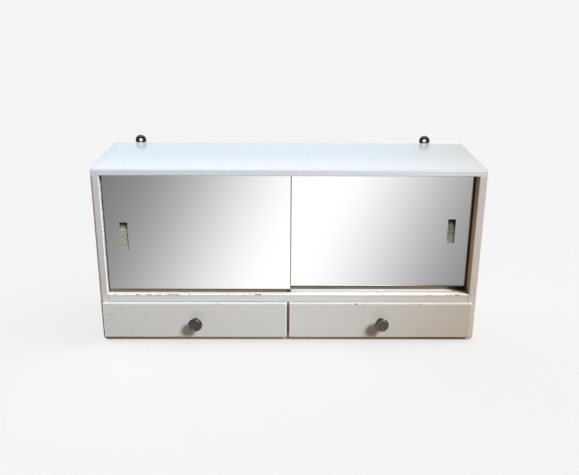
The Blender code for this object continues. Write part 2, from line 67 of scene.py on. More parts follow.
def look_matrix(place, pitch, yaw, roll):
    """A camera's matrix: yaw turns it from +Y towards +X, pitch tips it down, roll turns it on its view."""
    ahead = Vector((math.sin(yaw) * math.cos(pitch), math.cos(yaw) * math.cos(pitch), -math.sin(pitch)))
    level = ahead.cross(Vector((0, 0, 1))).normalized()
    upright = level.cross(ahead)
    right = math.cos(roll) * level + math.sin(roll) * upright
    up = math.cos(roll) * upright - math.sin(roll) * level
    turned = Matrix((right, up, -ahead)).transposed().to_4x4()
    return Matrix.Translation(place) @ turned


camera_data = bpy.data.cameras.new("camera")
camera_data.lens = CAMERA_LENS
camera_data.sensor_width = 36.0
camera = bpy.data.objects.new("camera", camera_data)
camera.matrix_world = look_matrix(CAMERA_PLACE, CAMERA_PITCH, CAMERA_YAW, CAMERA_ROLL)
bpy.context.scene.collection.objects.link(camera)
bpy.context.scene.camera = camera
bpy.context.scene.view_settings.view_transform = "Standard"
print("camera at", [round(v, 3) for v in camera.location])

# %% [markdown]
# ## A way to write node trees
# A finish is a network of nodes.  Drawn by hand it is a picture; in a script it is easier to read as
# sums, so each helper here lays one node, takes numbers or other nodes' outputs as its inputs, and hands
# back its output.  An effect that several finishes share becomes a node group, with named inputs and
# outputs.

# %% Helpers for node trees
GROUP_SOCKETS = {"value": "NodeSocketFloat", "vector": "NodeSocketVector", "colour": "NodeSocketColor"}


def plug(tree, socket, value):
    """Feeds a socket from another node's output, or with a plain value."""
    if isinstance(value, bpy.types.NodeSocket):
        tree.links.new(value, socket)
    else:
        socket.default_value = value


class Nodes:
    """Lays nodes in one tree.  Every method returns an output socket that the next can take."""

    def __init__(self, tree):
        self.tree = tree

    def lay(self, kind, feeds, output=0, **settings):
        node = self.tree.nodes.new("ShaderNode" + kind)
        for key, value in settings.items():
            setattr(node, key, value)
        for key, value in feeds.items():
            plug(self.tree, node.inputs[key], value)
        return node.outputs[output]

    def math(self, operation, a, b=0.0):
        return self.lay("Math", {0: a, 1: b}, operation=operation)

    def plus(self, a, b):
        return self.math("ADD", a, b)

    def minus(self, a, b):
        return self.math("SUBTRACT", a, b)

    def times(self, a, b):
        return self.math("MULTIPLY", a, b)

    def over(self, a, b):
        return self.math("DIVIDE", a, b)

    def larger(self, a, b):
        return self.math("MAXIMUM", a, b)

    def size_of(self, a):
        return self.math("ABSOLUTE", a)

    def vector(self, operation, a, b=(0.0, 0.0, 0.0)):
        return self.lay("VectorMath", {0: a, 1: b}, operation=operation)

    def length(self, a):
        return self.lay("VectorMath", {0: a}, 1, operation="LENGTH")

    def apart(self, vector):
        """The three parts of a vector."""
        first = self.lay("SeparateXYZ", {0: vector})
        return [first.node.outputs[i] for i in range(3)]

    def joined(self, x, y, z):
        return self.lay("CombineXYZ", {0: x, 1: y, 2: z})

    def smooth(self, value, low, high, to_low=0.0, to_high=1.0):
        """An S-shaped step from to_low, below low, to to_high, above high."""
        return self.lay("MapRange", {0: value, 1: low, 2: high, 3: to_low, 4: to_high},
                        interpolation_type="SMOOTHSTEP")

    def span(self, value, low, high, to_low=0.0, to_high=1.0):
        """A straight line between the same four numbers, held at its ends."""
        return self.lay("MapRange", {0: value, 1: low, 2: high, 3: to_low, 4: to_high})

    def blend(self, share, a, b, kind="MIX"):
        """Colour a where share is 0 and colour b where it is 1."""
        return self.lay("Mix", {0: share, 6: a, 7: b}, 2, data_type="RGBA", blend_type=kind)

    def tint(self, share, colour, by):
        """The colour darkened or warmed by another, as much as share says."""
        return self.blend(share, colour, by, "MULTIPLY")

    def stretched(self, place, by):
        """A position drawn out or squeezed along each axis, so that a pattern on it runs the other way."""
        return self.vector("MULTIPLY", place, by)

    def noise(self, place, scale, detail=2.0, rough=0.5, seed=0.0, bend=0.0):
        return self.lay("TexNoise", {"Vector": place, "W": seed, "Scale": scale, "Detail": detail,
                                     "Roughness": rough, "Distortion": bend}, noise_dimensions="4D")

    def cells(self, place, scale, output=0, seed=0.0, **settings):
        """Distance from scattered points (output 0) or a random colour for each of them (output 1)."""
        shifted = self.vector("ADD", place, self.joined(seed, seed, seed))
        return self.lay("TexVoronoi", {"Vector": shifted, "Scale": scale}, output, **settings)

    def turned(self, place, turn):
        return self.lay("Mapping", {"Vector": place, "Rotation": turn})

    def group(self, group, **feeds):
        """Places a node group.  Its outputs come back as a dictionary."""
        node = self.tree.nodes.new("ShaderNodeGroup")
        node.node_tree = group
        for key, value in feeds.items():
            plug(self.tree, node.inputs[key.replace("_", " ")], value)
        return {socket.name: socket for socket in node.outputs}


def effect(name, inputs, outputs):
    """A node group with sockets given as {name: kind}: its nodes, its inputs and a way to set its outputs."""
    tree = bpy.data.node_groups.new(name, "ShaderNodeTree")
    for way, sockets in (("INPUT", inputs), ("OUTPUT", outputs)):
        for socket, kind in sockets.items():
            tree.interface.new_socket(name=socket, in_out=way, socket_type=GROUP_SOCKETS[kind])
    inward = tree.nodes.new("NodeGroupInput")
    outward = tree.nodes.new("NodeGroupOutput")

    def put_out(**values):
        for key, value in values.items():
            tree.links.new(value, outward.inputs[key.replace("_", " ")])

    return tree, Nodes(tree), inward.outputs, put_out


def finish(name):
    """A new material: its nodes, its Principled BSDF and the piece's own coordinates."""
    material = bpy.data.materials.new(name)
    material.use_nodes = True
    material.node_tree.nodes.clear()
    nodes = Nodes(material.node_tree)
    shader = nodes.lay("BsdfPrincipled", {}).node
    output = material.node_tree.nodes.new("ShaderNodeOutputMaterial")
    material.node_tree.links.new(shader.outputs[0], output.inputs[0])
    place = nodes.lay("TexCoord", {}, 3)
    return material, nodes, shader, place


def feed(nodes, shader, height=None, height_scale=0.001, **values):
    """Sets the shader's inputs from numbers or sockets, and its normal from a height in metres."""
    for key, value in values.items():
        plug(nodes.tree, shader.inputs[key.replace("_", " ")], value)
    if height is not None:
        bump = nodes.lay("Bump", {"Height": height, "Strength": 1.0, "Distance": height_scale})
        nodes.tree.links.new(bump, shader.inputs["Normal"])


def light_colour(red, green, blue):
    """A colour for a socket, from three shares of the light."""
    return (red, green, blue, 1.0)


print("node helpers ready")

# %% [markdown]
# ## Floor, sky and lamp
# The floor is a plain pale sheet that runs far past the view.  A mirror shows whatever stands before it,
# so a graduated card is laid there: white in a band that fans out from the cabinet, grey to each side.
# Here the floor itself answers reflected rays with that fan, and answers soft bounced light with a warm
# brown, as a wooden floor in a room would.  The room's light is warm and dim in front and cool from
# above.

# %% Floor
FLOOR_HALF = 40.0
FLOOR_DROP = 0.0002                 # a hair below the cabinet's underside
FAN_LINE = (-0.0620, -0.1707)       # the band's middle: x = first + second * y
FAN_WIDTH = (0.1574, -0.1239)       # its unit width: first + second * y
FAN_LEAST = 0.12                    # and what that width never falls below
FAN_LOW, FAN_RISE = 0.176, 0.924    # the card's grey, and what the band adds to it at its middle
FAN_BELL = 1.30                     # width of the band's bell curve, in unit widths
FLOOR_PAINT = light_colour(0.487, 0.435, 0.390)
FLOOR_GLOW = 0.68                   # evens out the floor's brightness
ROOM_FLOOR = light_colour(0.18, 0.108, 0.050)


def floor_finish():
    """Plain and pale to the eye, the fan to a reflected ray, warm brown to soft light.
    The fan is low + rise * exp(-(off ** 2)), where off counts the band's widths from its middle."""
    material, nodes, shader, place = finish("floor_card")
    tree = material.node_tree
    x, y = nodes.apart(place)[:2]
    middle = nodes.plus(nodes.times(y, FAN_LINE[1]), FAN_LINE[0])
    width = nodes.larger(nodes.plus(nodes.times(y, FAN_WIDTH[1]), FAN_WIDTH[0]), FAN_LEAST)
    off = nodes.over(nodes.minus(x, middle), nodes.times(width, FAN_BELL))
    bell = nodes.math("EXPONENT", nodes.times(nodes.times(off, off), -1.0))
    level = nodes.plus(nodes.times(bell, FAN_RISE), FAN_LOW)
    fan = nodes.lay("Emission", {"Color": light_colour(1, 1, 1), "Strength": level})
    pale = nodes.lay("AddShader", {0: nodes.lay("BsdfDiffuse", {"Color": FLOOR_PAINT}),
                                   1: nodes.lay("Emission", {"Color": light_colour(1, 1, 1),
                                                             "Strength": FLOOR_GLOW})})
    warm = nodes.lay("Emission", {"Color": ROOM_FLOOR})
    rays = nodes.lay("LightPath", {}).node.outputs
    bounced = nodes.lay("MixShader", {0: rays["Is Glossy Ray"], 1: warm, 2: fan})
    seen = nodes.lay("MixShader", {0: rays["Is Camera Ray"], 1: bounced, 2: pale})
    out = next(node for node in tree.nodes if node.type == "OUTPUT_MATERIAL")
    tree.links.new(seen, out.inputs[0])
    tree.nodes.remove(shader)
    return material


floor_mesh = bpy.data.meshes.new("floor")
corners = [(x * FLOOR_HALF, y * FLOOR_HALF, -FLOOR_DROP) for x, y in ((-1, -1), (1, -1), (1, 1), (-1, 1))]
floor_mesh.from_pydata(corners, [], [(0, 1, 2, 3)])
floor_mesh.materials.append(floor_finish())
floor = bpy.data.objects.new("floor", floor_mesh)
bpy.context.scene.collection.objects.link(floor)
print("floor:", 2 * FLOOR_HALF, "m square")

# %% [markdown]
# The light is a low window to the right and in front, as a soft-edged sun that leaves the floor alone,
# under a dim sky.  The sky is a sum of directions: warm and dark in front, cool behind and overhead.  A
# bright pane high in front shows only in gloss, where it draws the light line along the rounded front
# edge of the top.

# %% Sky and lamp
BACKDROP = light_colour(0.913, 0.913, 0.913)
SKY_ABOVE = light_colour(0.56, 0.65, 0.76)
SKY_BEHIND = light_colour(0.80, 0.86, 0.92)
SKY_BEFORE = light_colour(0.13, 0.085, 0.045)
WINDOW_PANE = light_colour(0.52, 0.59, 0.64)    # seen only in gloss, above and in front
KEY_FROM = Vector((0.76, -0.90, 1.02))
KEY_COLOUR = (0.955, 1.0, 1.01)
KEY_STRENGTH = 3.3
KEY_SIZE = math.radians(15)

world = bpy.data.worlds.new("room")
world.use_nodes = True
world.node_tree.nodes.clear()
sky = Nodes(world.node_tree)
towards = sky.lay("TexCoord", {}, 0)
sx, sy, sz = sky.apart(towards)
behind = sky.plus(sy, sky.times(sx, 0.35))
around = sky.blend(sky.smooth(behind, -0.30, 0.45), SKY_BEFORE, SKY_BEHIND)
overhead = sky.plus(sz, sky.times(sy, 0.45))
dome = sky.blend(sky.smooth(overhead, 0.20, 0.80), around, SKY_ABOVE)
rays = sky.lay("LightPath", {}).node.outputs
window = sky.times(sky.smooth(sz, 0.12, 0.26), sky.smooth(sy, -0.35, -0.60))
window = sky.times(window, rays["Is Glossy Ray"])
dome = sky.blend(window, dome, WINDOW_PANE)
lit = sky.lay("Background", {"Color": sky.blend(rays["Is Camera Ray"], dome, BACKDROP)})
world_out = world.node_tree.nodes.new("ShaderNodeOutputWorld")
world.node_tree.links.new(lit, world_out.inputs[0])
bpy.context.scene.world = world

key_data = bpy.data.lights.new("window", "SUN")
key_data.energy = KEY_STRENGTH
key_data.color = KEY_COLOUR
key_data.angle = KEY_SIZE
key = bpy.data.objects.new("window", key_data)
key.rotation_mode = "QUATERNION"
key.rotation_quaternion = KEY_FROM.to_track_quat("Z", "Y")
bpy.context.scene.collection.objects.link(key)
not_lit = bpy.data.collections.new("not_lit_by_window")
not_lit.objects.link(floor)
key.light_linking.receiver_collection = not_lit
not_lit.collection_objects[0].light_linking.link_state = "EXCLUDE"
print("lamp from", [round(v, 2) for v in KEY_FROM.normalized()])

# %% [markdown]
# ## Shared effects
# Paint chips where it is knocked, at the edges of a board, so every board needs to know how far a spot is
# from its nearest edge.  A board is a box: measure a spot's distance from the nearest face along each
# axis.  On a face one of the three is nought, and at an edge two are, so the middle one of the three is
# the distance to the edge.  It could be painted by hand or found from the mesh's sharpness, but this sum
# is exact and works on any board.

# %% Effect: distance to a board's edge
edge_tree, nodes, given, put_out = effect(
    "Distance to edge", {"Position": "vector", "Centre": "vector", "Half size": "vector"},
    {"Distance": "value"})
from_middle = nodes.vector("ABSOLUTE", nodes.vector("SUBTRACT", given["Position"], given["Centre"]))
inside = nodes.vector("SUBTRACT", given["Half size"], from_middle)
dx, dy, dz = nodes.apart(nodes.vector("ABSOLUTE", inside))
least = nodes.math("MINIMUM", nodes.math("MINIMUM", dx, dy), dz)
most = nodes.larger(nodes.larger(dx, dy), dz)
total = nodes.plus(nodes.plus(dx, dy), dz)
put_out(Distance=nodes.minus(nodes.minus(total, least), most))
print("effect:", edge_tree.name)

# %% [markdown]
# Old gloss enamel is never one white.  It yellows where the sun and hands reach it, here towards the lower
# right, where it also carries painted warm shade.  Painted shade darkens it towards both ends, and painted
# light makes it brighter and cooler with height.  The brush leaves fine lines along each board.  Knocks break
# it away at the edges, down to a rusty primer or dark wood, and small dots of it are missing on the faces.
# One group holds all of this, and each board sets its own brushing, shade, painted light and wear.

# %% Effect: old gloss enamel
CASE_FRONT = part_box("case_left_side")[0].y
CASE_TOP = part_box("case_left_side")[1].z
CASE_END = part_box("case_right_side")[1].x
SIDE_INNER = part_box("case_right_side")[0].x
TOP_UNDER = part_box("case_top")[0].z
FRESH = light_colour(0.758, 0.748, 0.748)
MOTTLE_GREEN, MOTTLE_PINK = light_colour(0.985, 1.0, 0.982), light_colour(1.0, 0.986, 0.990)
LOW_PAINTED_SHADE = light_colour(0.94, 0.935, 0.925)             # painted shade at the foot of the case
HIGH_PAINTED_LIGHT = light_colour(1.085, 1.115, 1.165)           # painted cool light under its top
TOP_EDGE_PAINTED_LIGHT = light_colour(1.085, 1.148, 1.255)       # painted cool light on the top's front edge
TOP_PAINTED_LIGHT = light_colour(1.085, 1.115, 1.115)            # and painted cool light on the top itself
# yellowing of the paint, with painted warm shade mixed into it
YELLOWED_AND_SHADED = light_colour(0.87, 0.755, 0.63)
# painted shade towards both ends of the case
ENDS_PAINTED_SHADE = light_colour(0.97, 0.975, 0.975)
# painted light along the front of the top
TOP_FRONT_PAINTED_LIGHT = light_colour(1.19, 1.125, 1.115)
ARRIS_PAINTED_SHADE = 0.80       # painted shade on the top's rounded front edge
EDGE_PAINTED_LIGHT = 0.12     # painted light that the top's front edge gains towards its right end
PRIMER = light_colour(0.24, 0.105, 0.065)
BARE_DARK = light_colour(0.105, 0.100, 0.080)
# brown for painted shade and painted shadow where one part shades another
PAINTED_SHADE_BROWN = light_colour(0.40, 0.30, 0.20)
CHIP_START, CHIP_REACH = 0.0009, 0.0034     # how far from an edge the chips stop being sure, and stop
CHIP_GRAIN = (110.0, 300.0, 300.0)          # chips are three times as long as they are high
DOT_SPACING = 70.0                          # places for a dot, to the metre
STREAK_GRAIN = (420.0, 420.0, 14.0)         # dirt runs down
enamel_tree, nodes, given, put_out = effect(
    "Old gloss enamel",
    {"Position": "vector", "Edge": "value", "Brush": "vector", "Shade": "value", "Edge chips": "value",
     "Dots": "value", "Dirt": "value", "Seed": "value"},
    {"Colour": "colour", "Roughness": "value", "Gloss": "value", "Height": "value"})
place, seed = given["Position"], given["Seed"]
x, y, z = nodes.apart(place)
below_top = nodes.minus(CASE_TOP, z)
behind_front = nodes.minus(y, CASE_FRONT)
broad = nodes.noise(place, 9.0, 3.0, 0.55, seed)
fine = nodes.noise(place, 42.0, 4.0, 0.6, seed)
print("enamel: reads", [socket.name for socket in given if socket.name])

# %% [markdown]
# The paint's colour comes first: a mottled white, yellowed with painted warm shade to the lower right, with
# painted shade towards both ends, painted light that is brighter and cooler with height, and a band of
# painted light along the front of the top.

# %% Enamel: its colour
mottled = nodes.blend(nodes.smooth(broad, 0.35, 0.65), MOTTLE_GREEN, MOTTLE_PINK)
colour = nodes.tint(1.0, FRESH, mottled)
# yellowing and painted warm shade, growing to the right and further down
rightward = nodes.smooth(nodes.plus(x, nodes.times(broad, 0.06)), 0.05, 0.34)
downward = nodes.span(z, -0.02, 0.285, 1.0, nodes.span(x, 0.24, 0.285, 0.05, 0.34))
on_board = nodes.smooth(below_top, 0.0022, 0.0004)
downward = nodes.larger(downward, nodes.times(on_board, nodes.span(x, 0.19, 0.28, 0.40, 0.80)))
colour = nodes.tint(nodes.times(rightward, downward), colour, YELLOWED_AND_SHADED)
# painted shade towards both ends
outward = nodes.smooth(nodes.size_of(nodes.minus(x, 0.03)), 0.02, 0.32)
colour = nodes.tint(outward, colour, ENDS_PAINTED_SHADE)
# painted light and shade by height: darker at the foot, brighter and cooler under the top, on its front edge
# and on the top itself
height_light = nodes.blend(nodes.span(z, 0.0, CASE_TOP), LOW_PAINTED_SHADE, HIGH_PAINTED_LIGHT)
height_light = nodes.blend(nodes.smooth(z, TOP_UNDER - 0.013, TOP_UNDER + 0.001), height_light, TOP_EDGE_PAINTED_LIGHT)
height_light = nodes.blend(on_board, height_light, TOP_PAINTED_LIGHT)
colour = nodes.tint(1.0, colour, height_light)
# painted light, strongest at the front of the top
rubbed_and_lit = nodes.times(nodes.smooth(below_top, 0.0025, 0.0002),
                     nodes.smooth(behind_front, 0.005, 0.110, 1.0, 0.0))
colour = nodes.tint(rubbed_and_lit, colour, TOP_FRONT_PAINTED_LIGHT)
print("enamel: colour from a broad noise, the height and the distance from the front")

# %% [markdown]
# Over the colour lies a shade: a film worn thin in places, the brush's lines, and along the top's front edge
# a band of painted light whose rounded corner carries painted shade.

# %% Enamel: its shade
worn_film = nodes.span(fine, 0.3, 0.75, 1.0, 0.965)
brush = nodes.noise(nodes.stretched(place, given["Brush"]), 1.0, 3.0, 0.6, seed)
tone = nodes.times(nodes.times(worn_film, nodes.span(brush, 0.3, 0.7, 0.985, 1.01)), given["Shade"])
# a band of painted light along the top's front edge, brighter to the right
edge_light = nodes.times(nodes.smooth(below_top, 0.014, 0.009), nodes.smooth(below_top, 0.0012, 0.0024))
edge_light = nodes.times(edge_light, nodes.span(x, -0.05, 0.29, 0.0, EDGE_PAINTED_LIGHT))
tone = nodes.times(tone, nodes.plus(edge_light, 1.0))
# painted shade on the top's rounded front edge
top_arris = nodes.times(nodes.smooth(below_top, 0.0057, 0.0040), nodes.smooth(behind_front, 0.0047, 0.0030))
tone = nodes.times(tone, nodes.span(top_arris, 0.0, 1.0, 1.0, ARRIS_PAINTED_SHADE))
colour = nodes.tint(1.0, colour, nodes.joined(tone, tone, tone))
print("enamel: top's front edge up to", EDGE_PAINTED_LIGHT, "brighter, its corner at", ARRIS_PAINTED_SHADE)

# %% [markdown]
# Paint is missing in two ways.  Bites lie along the edges, wherever a fine noise and a patchy one are
# both high.  Dots lie on the faces: scattered points, of which each board keeps its own share.

# %% Enamel: what is missing
near = nodes.smooth(given["Edge"], CHIP_START, CHIP_REACH, 1.0, 0.0)
bitten = nodes.noise(nodes.stretched(place, CHIP_GRAIN), 1.0, 3.0, 0.6, nodes.plus(seed, 4.0))
patchy = nodes.noise(place, 17.0, 1.0, 0.5, nodes.plus(seed, 9.0))
bite = nodes.times(nodes.plus(bitten, nodes.times(patchy, 0.7)), near)
edge_chip = nodes.smooth(bite, nodes.minus(1.17, given["Edge chips"]), nodes.minus(1.20, given["Edge chips"]))
from_dot = nodes.cells(place, DOT_SPACING, 0, seed, feature="F1")
pick, faintness = nodes.apart(nodes.cells(place, DOT_SPACING, 1, seed, feature="F1"))[:2]
radius = nodes.span(pick, 0.0, 0.6, 0.125, 0.055)
dot = nodes.times(nodes.smooth(from_dot, nodes.times(radius, 0.6), radius, 1.0, 0.0),
                  nodes.math("LESS_THAN", pick, given["Dots"]))
dot = nodes.times(dot, nodes.span(faintness, 0.0, 1.0, 0.55, 1.0))
gone = nodes.larger(edge_chip, dot)
print("enamel: chips reach", CHIP_REACH, "m in from an edge")

# %% [markdown]
# Painted brown shade darkens the paint in streaks, and primer or dark wood shows where it is gone.  Neither
# of them shines.

# %% Enamel: painted shade and bare patches
# painted brown shade, broken into streaks
streak = nodes.noise(nodes.stretched(place, STREAK_GRAIN), 1.0, 3.0, 0.6, seed)
shadow_share = nodes.times(given["Dirt"], nodes.span(streak, 0.35, 0.65, 1.0, 0.78))
colour = nodes.tint(shadow_share, colour, PAINTED_SHADE_BROWN)
rusty = nodes.smooth(nodes.noise(place, 130.0, 2.0, 0.5, seed), 0.42, 0.6)
colour = nodes.blend(gone, colour, nodes.blend(rusty, PRIMER, BARE_DARK))
rough = nodes.plus(nodes.span(fine, 0.3, 0.7, 0.27, 0.36),
                   nodes.times(nodes.larger(gone, given["Dirt"]), 0.40))
height = nodes.plus(nodes.times(brush, 0.10), nodes.times(broad, 0.22))
height = nodes.minus(height, nodes.times(gone, 0.8))
gloss = nodes.minus(1.0, nodes.larger(gone, given["Dirt"]))
put_out(Colour=colour, Roughness=rough, Gloss=gloss, Height=height)
print("effect:", enamel_tree.name)

# %% [markdown]
# The doors are thin plywood, the drawer boxes pine.  Both show long grain.  Bands of early and late wood
# are the contour lines of a slow noise drawn out along the board, and pores are fine dark dashes on top.
# The group reads a position that has been turned so that the grain runs along its first axis.

# %% Effect: wood grain
GRAIN_STRETCH = (6.0, 90.0, 90.0)           # bands of growth run along the first axis
FIBRE_STRETCH = (60.0, 2400.0, 2400.0)
PORE_STRETCH = (90.0, 1500.0, 1500.0)
PORE_SHADE = light_colour(0.4, 0.36, 0.32)
wood_tree, nodes, given, put_out = effect(
    "Wood grain", {"Position": "vector", "Early": "colour", "Late": "colour", "Seed": "value"},
    {"Colour": "colour", "Roughness": "value", "Height": "value"})
place, seed, late_wood = given["Position"], given["Seed"], given["Late"]
slow = nodes.noise(nodes.stretched(place, GRAIN_STRETCH), 0.35, 3.0, 0.5, seed, 0.6)
bands = nodes.math("FRACT", nodes.times(slow, 9.0))
late = nodes.math("POWER", nodes.minus(1.0, nodes.size_of(nodes.span(bands, 0, 1, -1, 1))), 1.6)
fibre = nodes.noise(nodes.stretched(place, FIBRE_STRETCH), 1.0, 2.0, 0.6, seed)
dash = nodes.noise(nodes.stretched(place, PORE_STRETCH), 1.0, 1.0, 0.5, nodes.plus(seed, 3.0))
pore = nodes.smooth(dash, 0.66, 0.74)
colour = nodes.blend(nodes.times(late, 0.8), given["Early"], late_wood)
colour = nodes.blend(nodes.span(fibre, 0.3, 0.7, 0.0, 0.35), colour, late_wood)
colour = nodes.blend(nodes.times(pore, 0.6), colour, nodes.tint(1.0, late_wood, PORE_SHADE))
put_out(Colour=colour, Roughness=nodes.span(fibre, 0.2, 0.8, 0.55, 0.75),
        Height=nodes.minus(nodes.times(fibre, 0.4), nodes.times(pore, 0.6)))
print("effect:", wood_tree.name)

# %% [markdown]
# The knobs, hangers, screws and pins are metal that has dulled.  Tarnish is a slow cloud between a
# brighter and a darker colour, rougher where it is darker, with fine pits and small scratches.

# %% Effect: tarnished metal
PIT_SPACING = 2600.0                        # pits to the metre
SCRATCH_STRETCH = (5200.0, 900.0, 420.0)
metal_tree, nodes, given, put_out = effect(
    "Tarnished metal",
    {"Position": "vector", "Clean": "colour", "Dull": "colour", "Patch size": "value", "Seed": "value"},
    {"Colour": "colour", "Roughness": "value", "Height": "value"})
place, seed = given["Position"], given["Seed"]
patches = nodes.vector("DIVIDE", place, nodes.joined(*[given["Patch size"]] * 3))
cloud = nodes.noise(patches, 1.0, 4.0, 0.62, seed, 0.4)
pits = nodes.smooth(nodes.cells(place, PIT_SPACING, 0, seed, feature="F1"), 0.10, 0.32)
scratch = nodes.noise(nodes.stretched(place, SCRATCH_STRETCH), 1.0, 1.0, 0.5, seed)
share = nodes.smooth(cloud, 0.32, 0.68)
colour = nodes.blend(share, given["Clean"], given["Dull"])
rough = nodes.plus(nodes.span(share, 0, 1, 0.26, 0.46), nodes.span(scratch, 0.3, 0.7, -0.04, 0.06))
put_out(Colour=colour, Roughness=rough,
        Height=nodes.plus(nodes.times(pits, 0.5), nodes.times(scratch, 0.35)))
print("effect:", metal_tree.name)

# %% [markdown]
# ## The painted boards
# Each painted board gets its own copy of the enamel, because wear follows that board's own edges.  Its
# brush runs along its longest side.  The amounts differ: the door shelf's front edge and the drawers' top
# edges have been knocked most.

# %% Numbers for every painted board
PINE_LIGHT, PINE_DARK = light_colour(0.60, 0.43, 0.25), light_colour(0.40, 0.245, 0.12)
BRUSH_ALONG = {0: (7.0, 190.0, 190.0), 1: (190.0, 7.0, 190.0), 2: (190.0, 190.0, 7.0)}
ENAMEL_COAT = 0.75
COAT_ROUGHNESS = 0.10
# board: (shade, edge chips, share of dots, seed)
PAINTED = {
    "case_left_side": (0.89, 0.10, 0.35, 1.3), "case_right_side": (1.05, 0.12, 0.45, 2.7),
    "case_top": (1.0, 0.08, 0.22, 3.1), "case_bottom": (0.97, 0.08, 0.20, 4.9),
    "door_shelf": (0.925, 0.255, 0.35, 5.2), "drawer_divider": (1.25, 0.05, 0.10, 6.4),
    "inner_shelf": (0.97, 0.06, 0.20, 7.8), "shelf_batten_left": (0.95, 0.04, 0.10, 8.1),
    "shelf_batten_right": (0.95, 0.04, 0.10, 9.6), "left_drawer_front": (0.98, 0.15, 0.60, 10.3),
    "right_drawer_front": (1.0, 0.22, 0.80, 11.9),
}
PAINTED_REVEAL_LIGHT = 1.3      # painted light on the faces that catch most light: the left side's inner face and the shelf's upper face
PAINTED_END_HIGHLIGHT = 1.22        # painted highlight on the rounded corners at the drawer fronts' ends
ROLL_PAINTED_SHADE = 0.84        # painted shade on the drawer fronts' upper front corner
LIP_PAINTED_LIGHT = 1.08       # painted light on the drawer fronts' upper edges
LIP_LIGHT_TINT = light_colour(1.0, 1.045, 1.12)      # painted cool light that lifts the yellowing off the upper edges
LIP_SPAN = (0.05, 0.26)         # where that begins and where it is whole, from left to right
SURFACE = 0.0009                # a face counts as far down as its rounded edges reach
BARE_REAR = 0.0092              # the drawer fronts' paint stops this far behind their faces
TOP_SHADE = {"case_left_side": 0.985, "case_right_side": 0.99}      # their ends, which are part of the top


def middle_and_half(node):
    """The middle of a node's box, and half its size."""
    low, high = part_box(node)
    return (low + high) / 2, (high - low) / 2


def dress(piece, *materials):
    """Gives a piece these materials and no others."""
    piece.data.materials.clear()
    for material in materials:
        piece.data.materials.append(material)


print("boards to paint:", len(PAINTED))

# %% [markdown]
# Some boards carry painted light and shade of their own: a bright inner face, a brown outer corner, dark
# brown where one part shades another.  Each such board has a function that takes its plain shade and returns
# a shade and a share of painted brown shade, worked out mostly from how far a spot lies from that board's own
# faces.

# %% Painted light and shade of single boards
def left_side_light_and_shade(nodes, place, shade, middle, half):
    """Painted light on the inner face, a little painted shade on it behind the doors, and painted brown shade
    on the outer arris, worst at the foot.
    """
    x, y, z = nodes.apart(place)
    past_inner, behind_front = nodes.plus(x, SIDE_INNER), nodes.minus(y, CASE_FRONT)
    shade = nodes.smooth(past_inner, -0.0005, -0.0001, shade, PAINTED_REVEAL_LIGHT * 1.2)
    # painted brown shade on the outer front arris, which turns away from the light
    arris = nodes.times(nodes.smooth(nodes.plus(x, CASE_END), 0.0038, 0.0014),
                        nodes.smooth(behind_front, 0.0016, 0.0010))
    arris = nodes.times(arris, nodes.span(z, 0.08, 0.25, 1.0, 0.92))
    # painted shade on the inner face behind the doors, in the gap beside the door
    dust = nodes.times(nodes.smooth(past_inner, -0.0006, 0.0), nodes.smooth(behind_front, 0.0065, 0.0085))
    return shade, nodes.larger(arris, nodes.times(dust, 0.10))


def right_side_painted_shade(nodes, place, shade, middle, half):
    """Painted brown shade on the inner face beside the door, fading further in, and painted shade high on the
    front.
    """
    x, y, z = nodes.apart(place)
    painted_shade = nodes.smooth(nodes.minus(x, SIDE_INNER), 0.0010, 0.0004)
    painted_shade = nodes.times(painted_shade, nodes.smooth(nodes.minus(y, CASE_FRONT), 0.024, 0.042, 1.0, 0.12))
    shade = nodes.times(nodes.span(z, 0.18, 0.26, shade, shade * 0.90), nodes.span(painted_shade, 0.0, 1.0, 1.0, 1.55))
    return shade, painted_shade


def shelf_light_and_shadow(nodes, place, shade, middle, half):
    """Painted light on the upper face, brighter to the right, with a wedge of painted black shadow in its
    right corner.
    """
    x, y, z = nodes.apart(place)
    behind_front = nodes.minus(y, CASE_FRONT)
    above = nodes.minus(z, middle.z + half.z - SURFACE)
    painted_light = nodes.span(x, 0.05, 0.24, PAINTED_REVEAL_LIGHT, PAINTED_REVEAL_LIGHT * 1.22)
    shade = nodes.smooth(above, 0.0, 0.0005, shade, painted_light)
    # the wedge is a painted shadow, cast by the right side board
    slanted = nodes.plus(x, nodes.times(nodes.minus(behind_front, 0.005), 1.9))
    wedge = nodes.times(nodes.smooth(slanted, 0.2855, 0.2885), nodes.smooth(above, 0.0, 0.0005))
    wedge = nodes.times(wedge, nodes.smooth(x, 0.250, 0.272))
    wedge = nodes.times(wedge, nodes.smooth(behind_front, 0.032, 0.024))
    return nodes.times(shade, nodes.span(wedge, 0.0, 1.0, 1.0, 0.18)), wedge


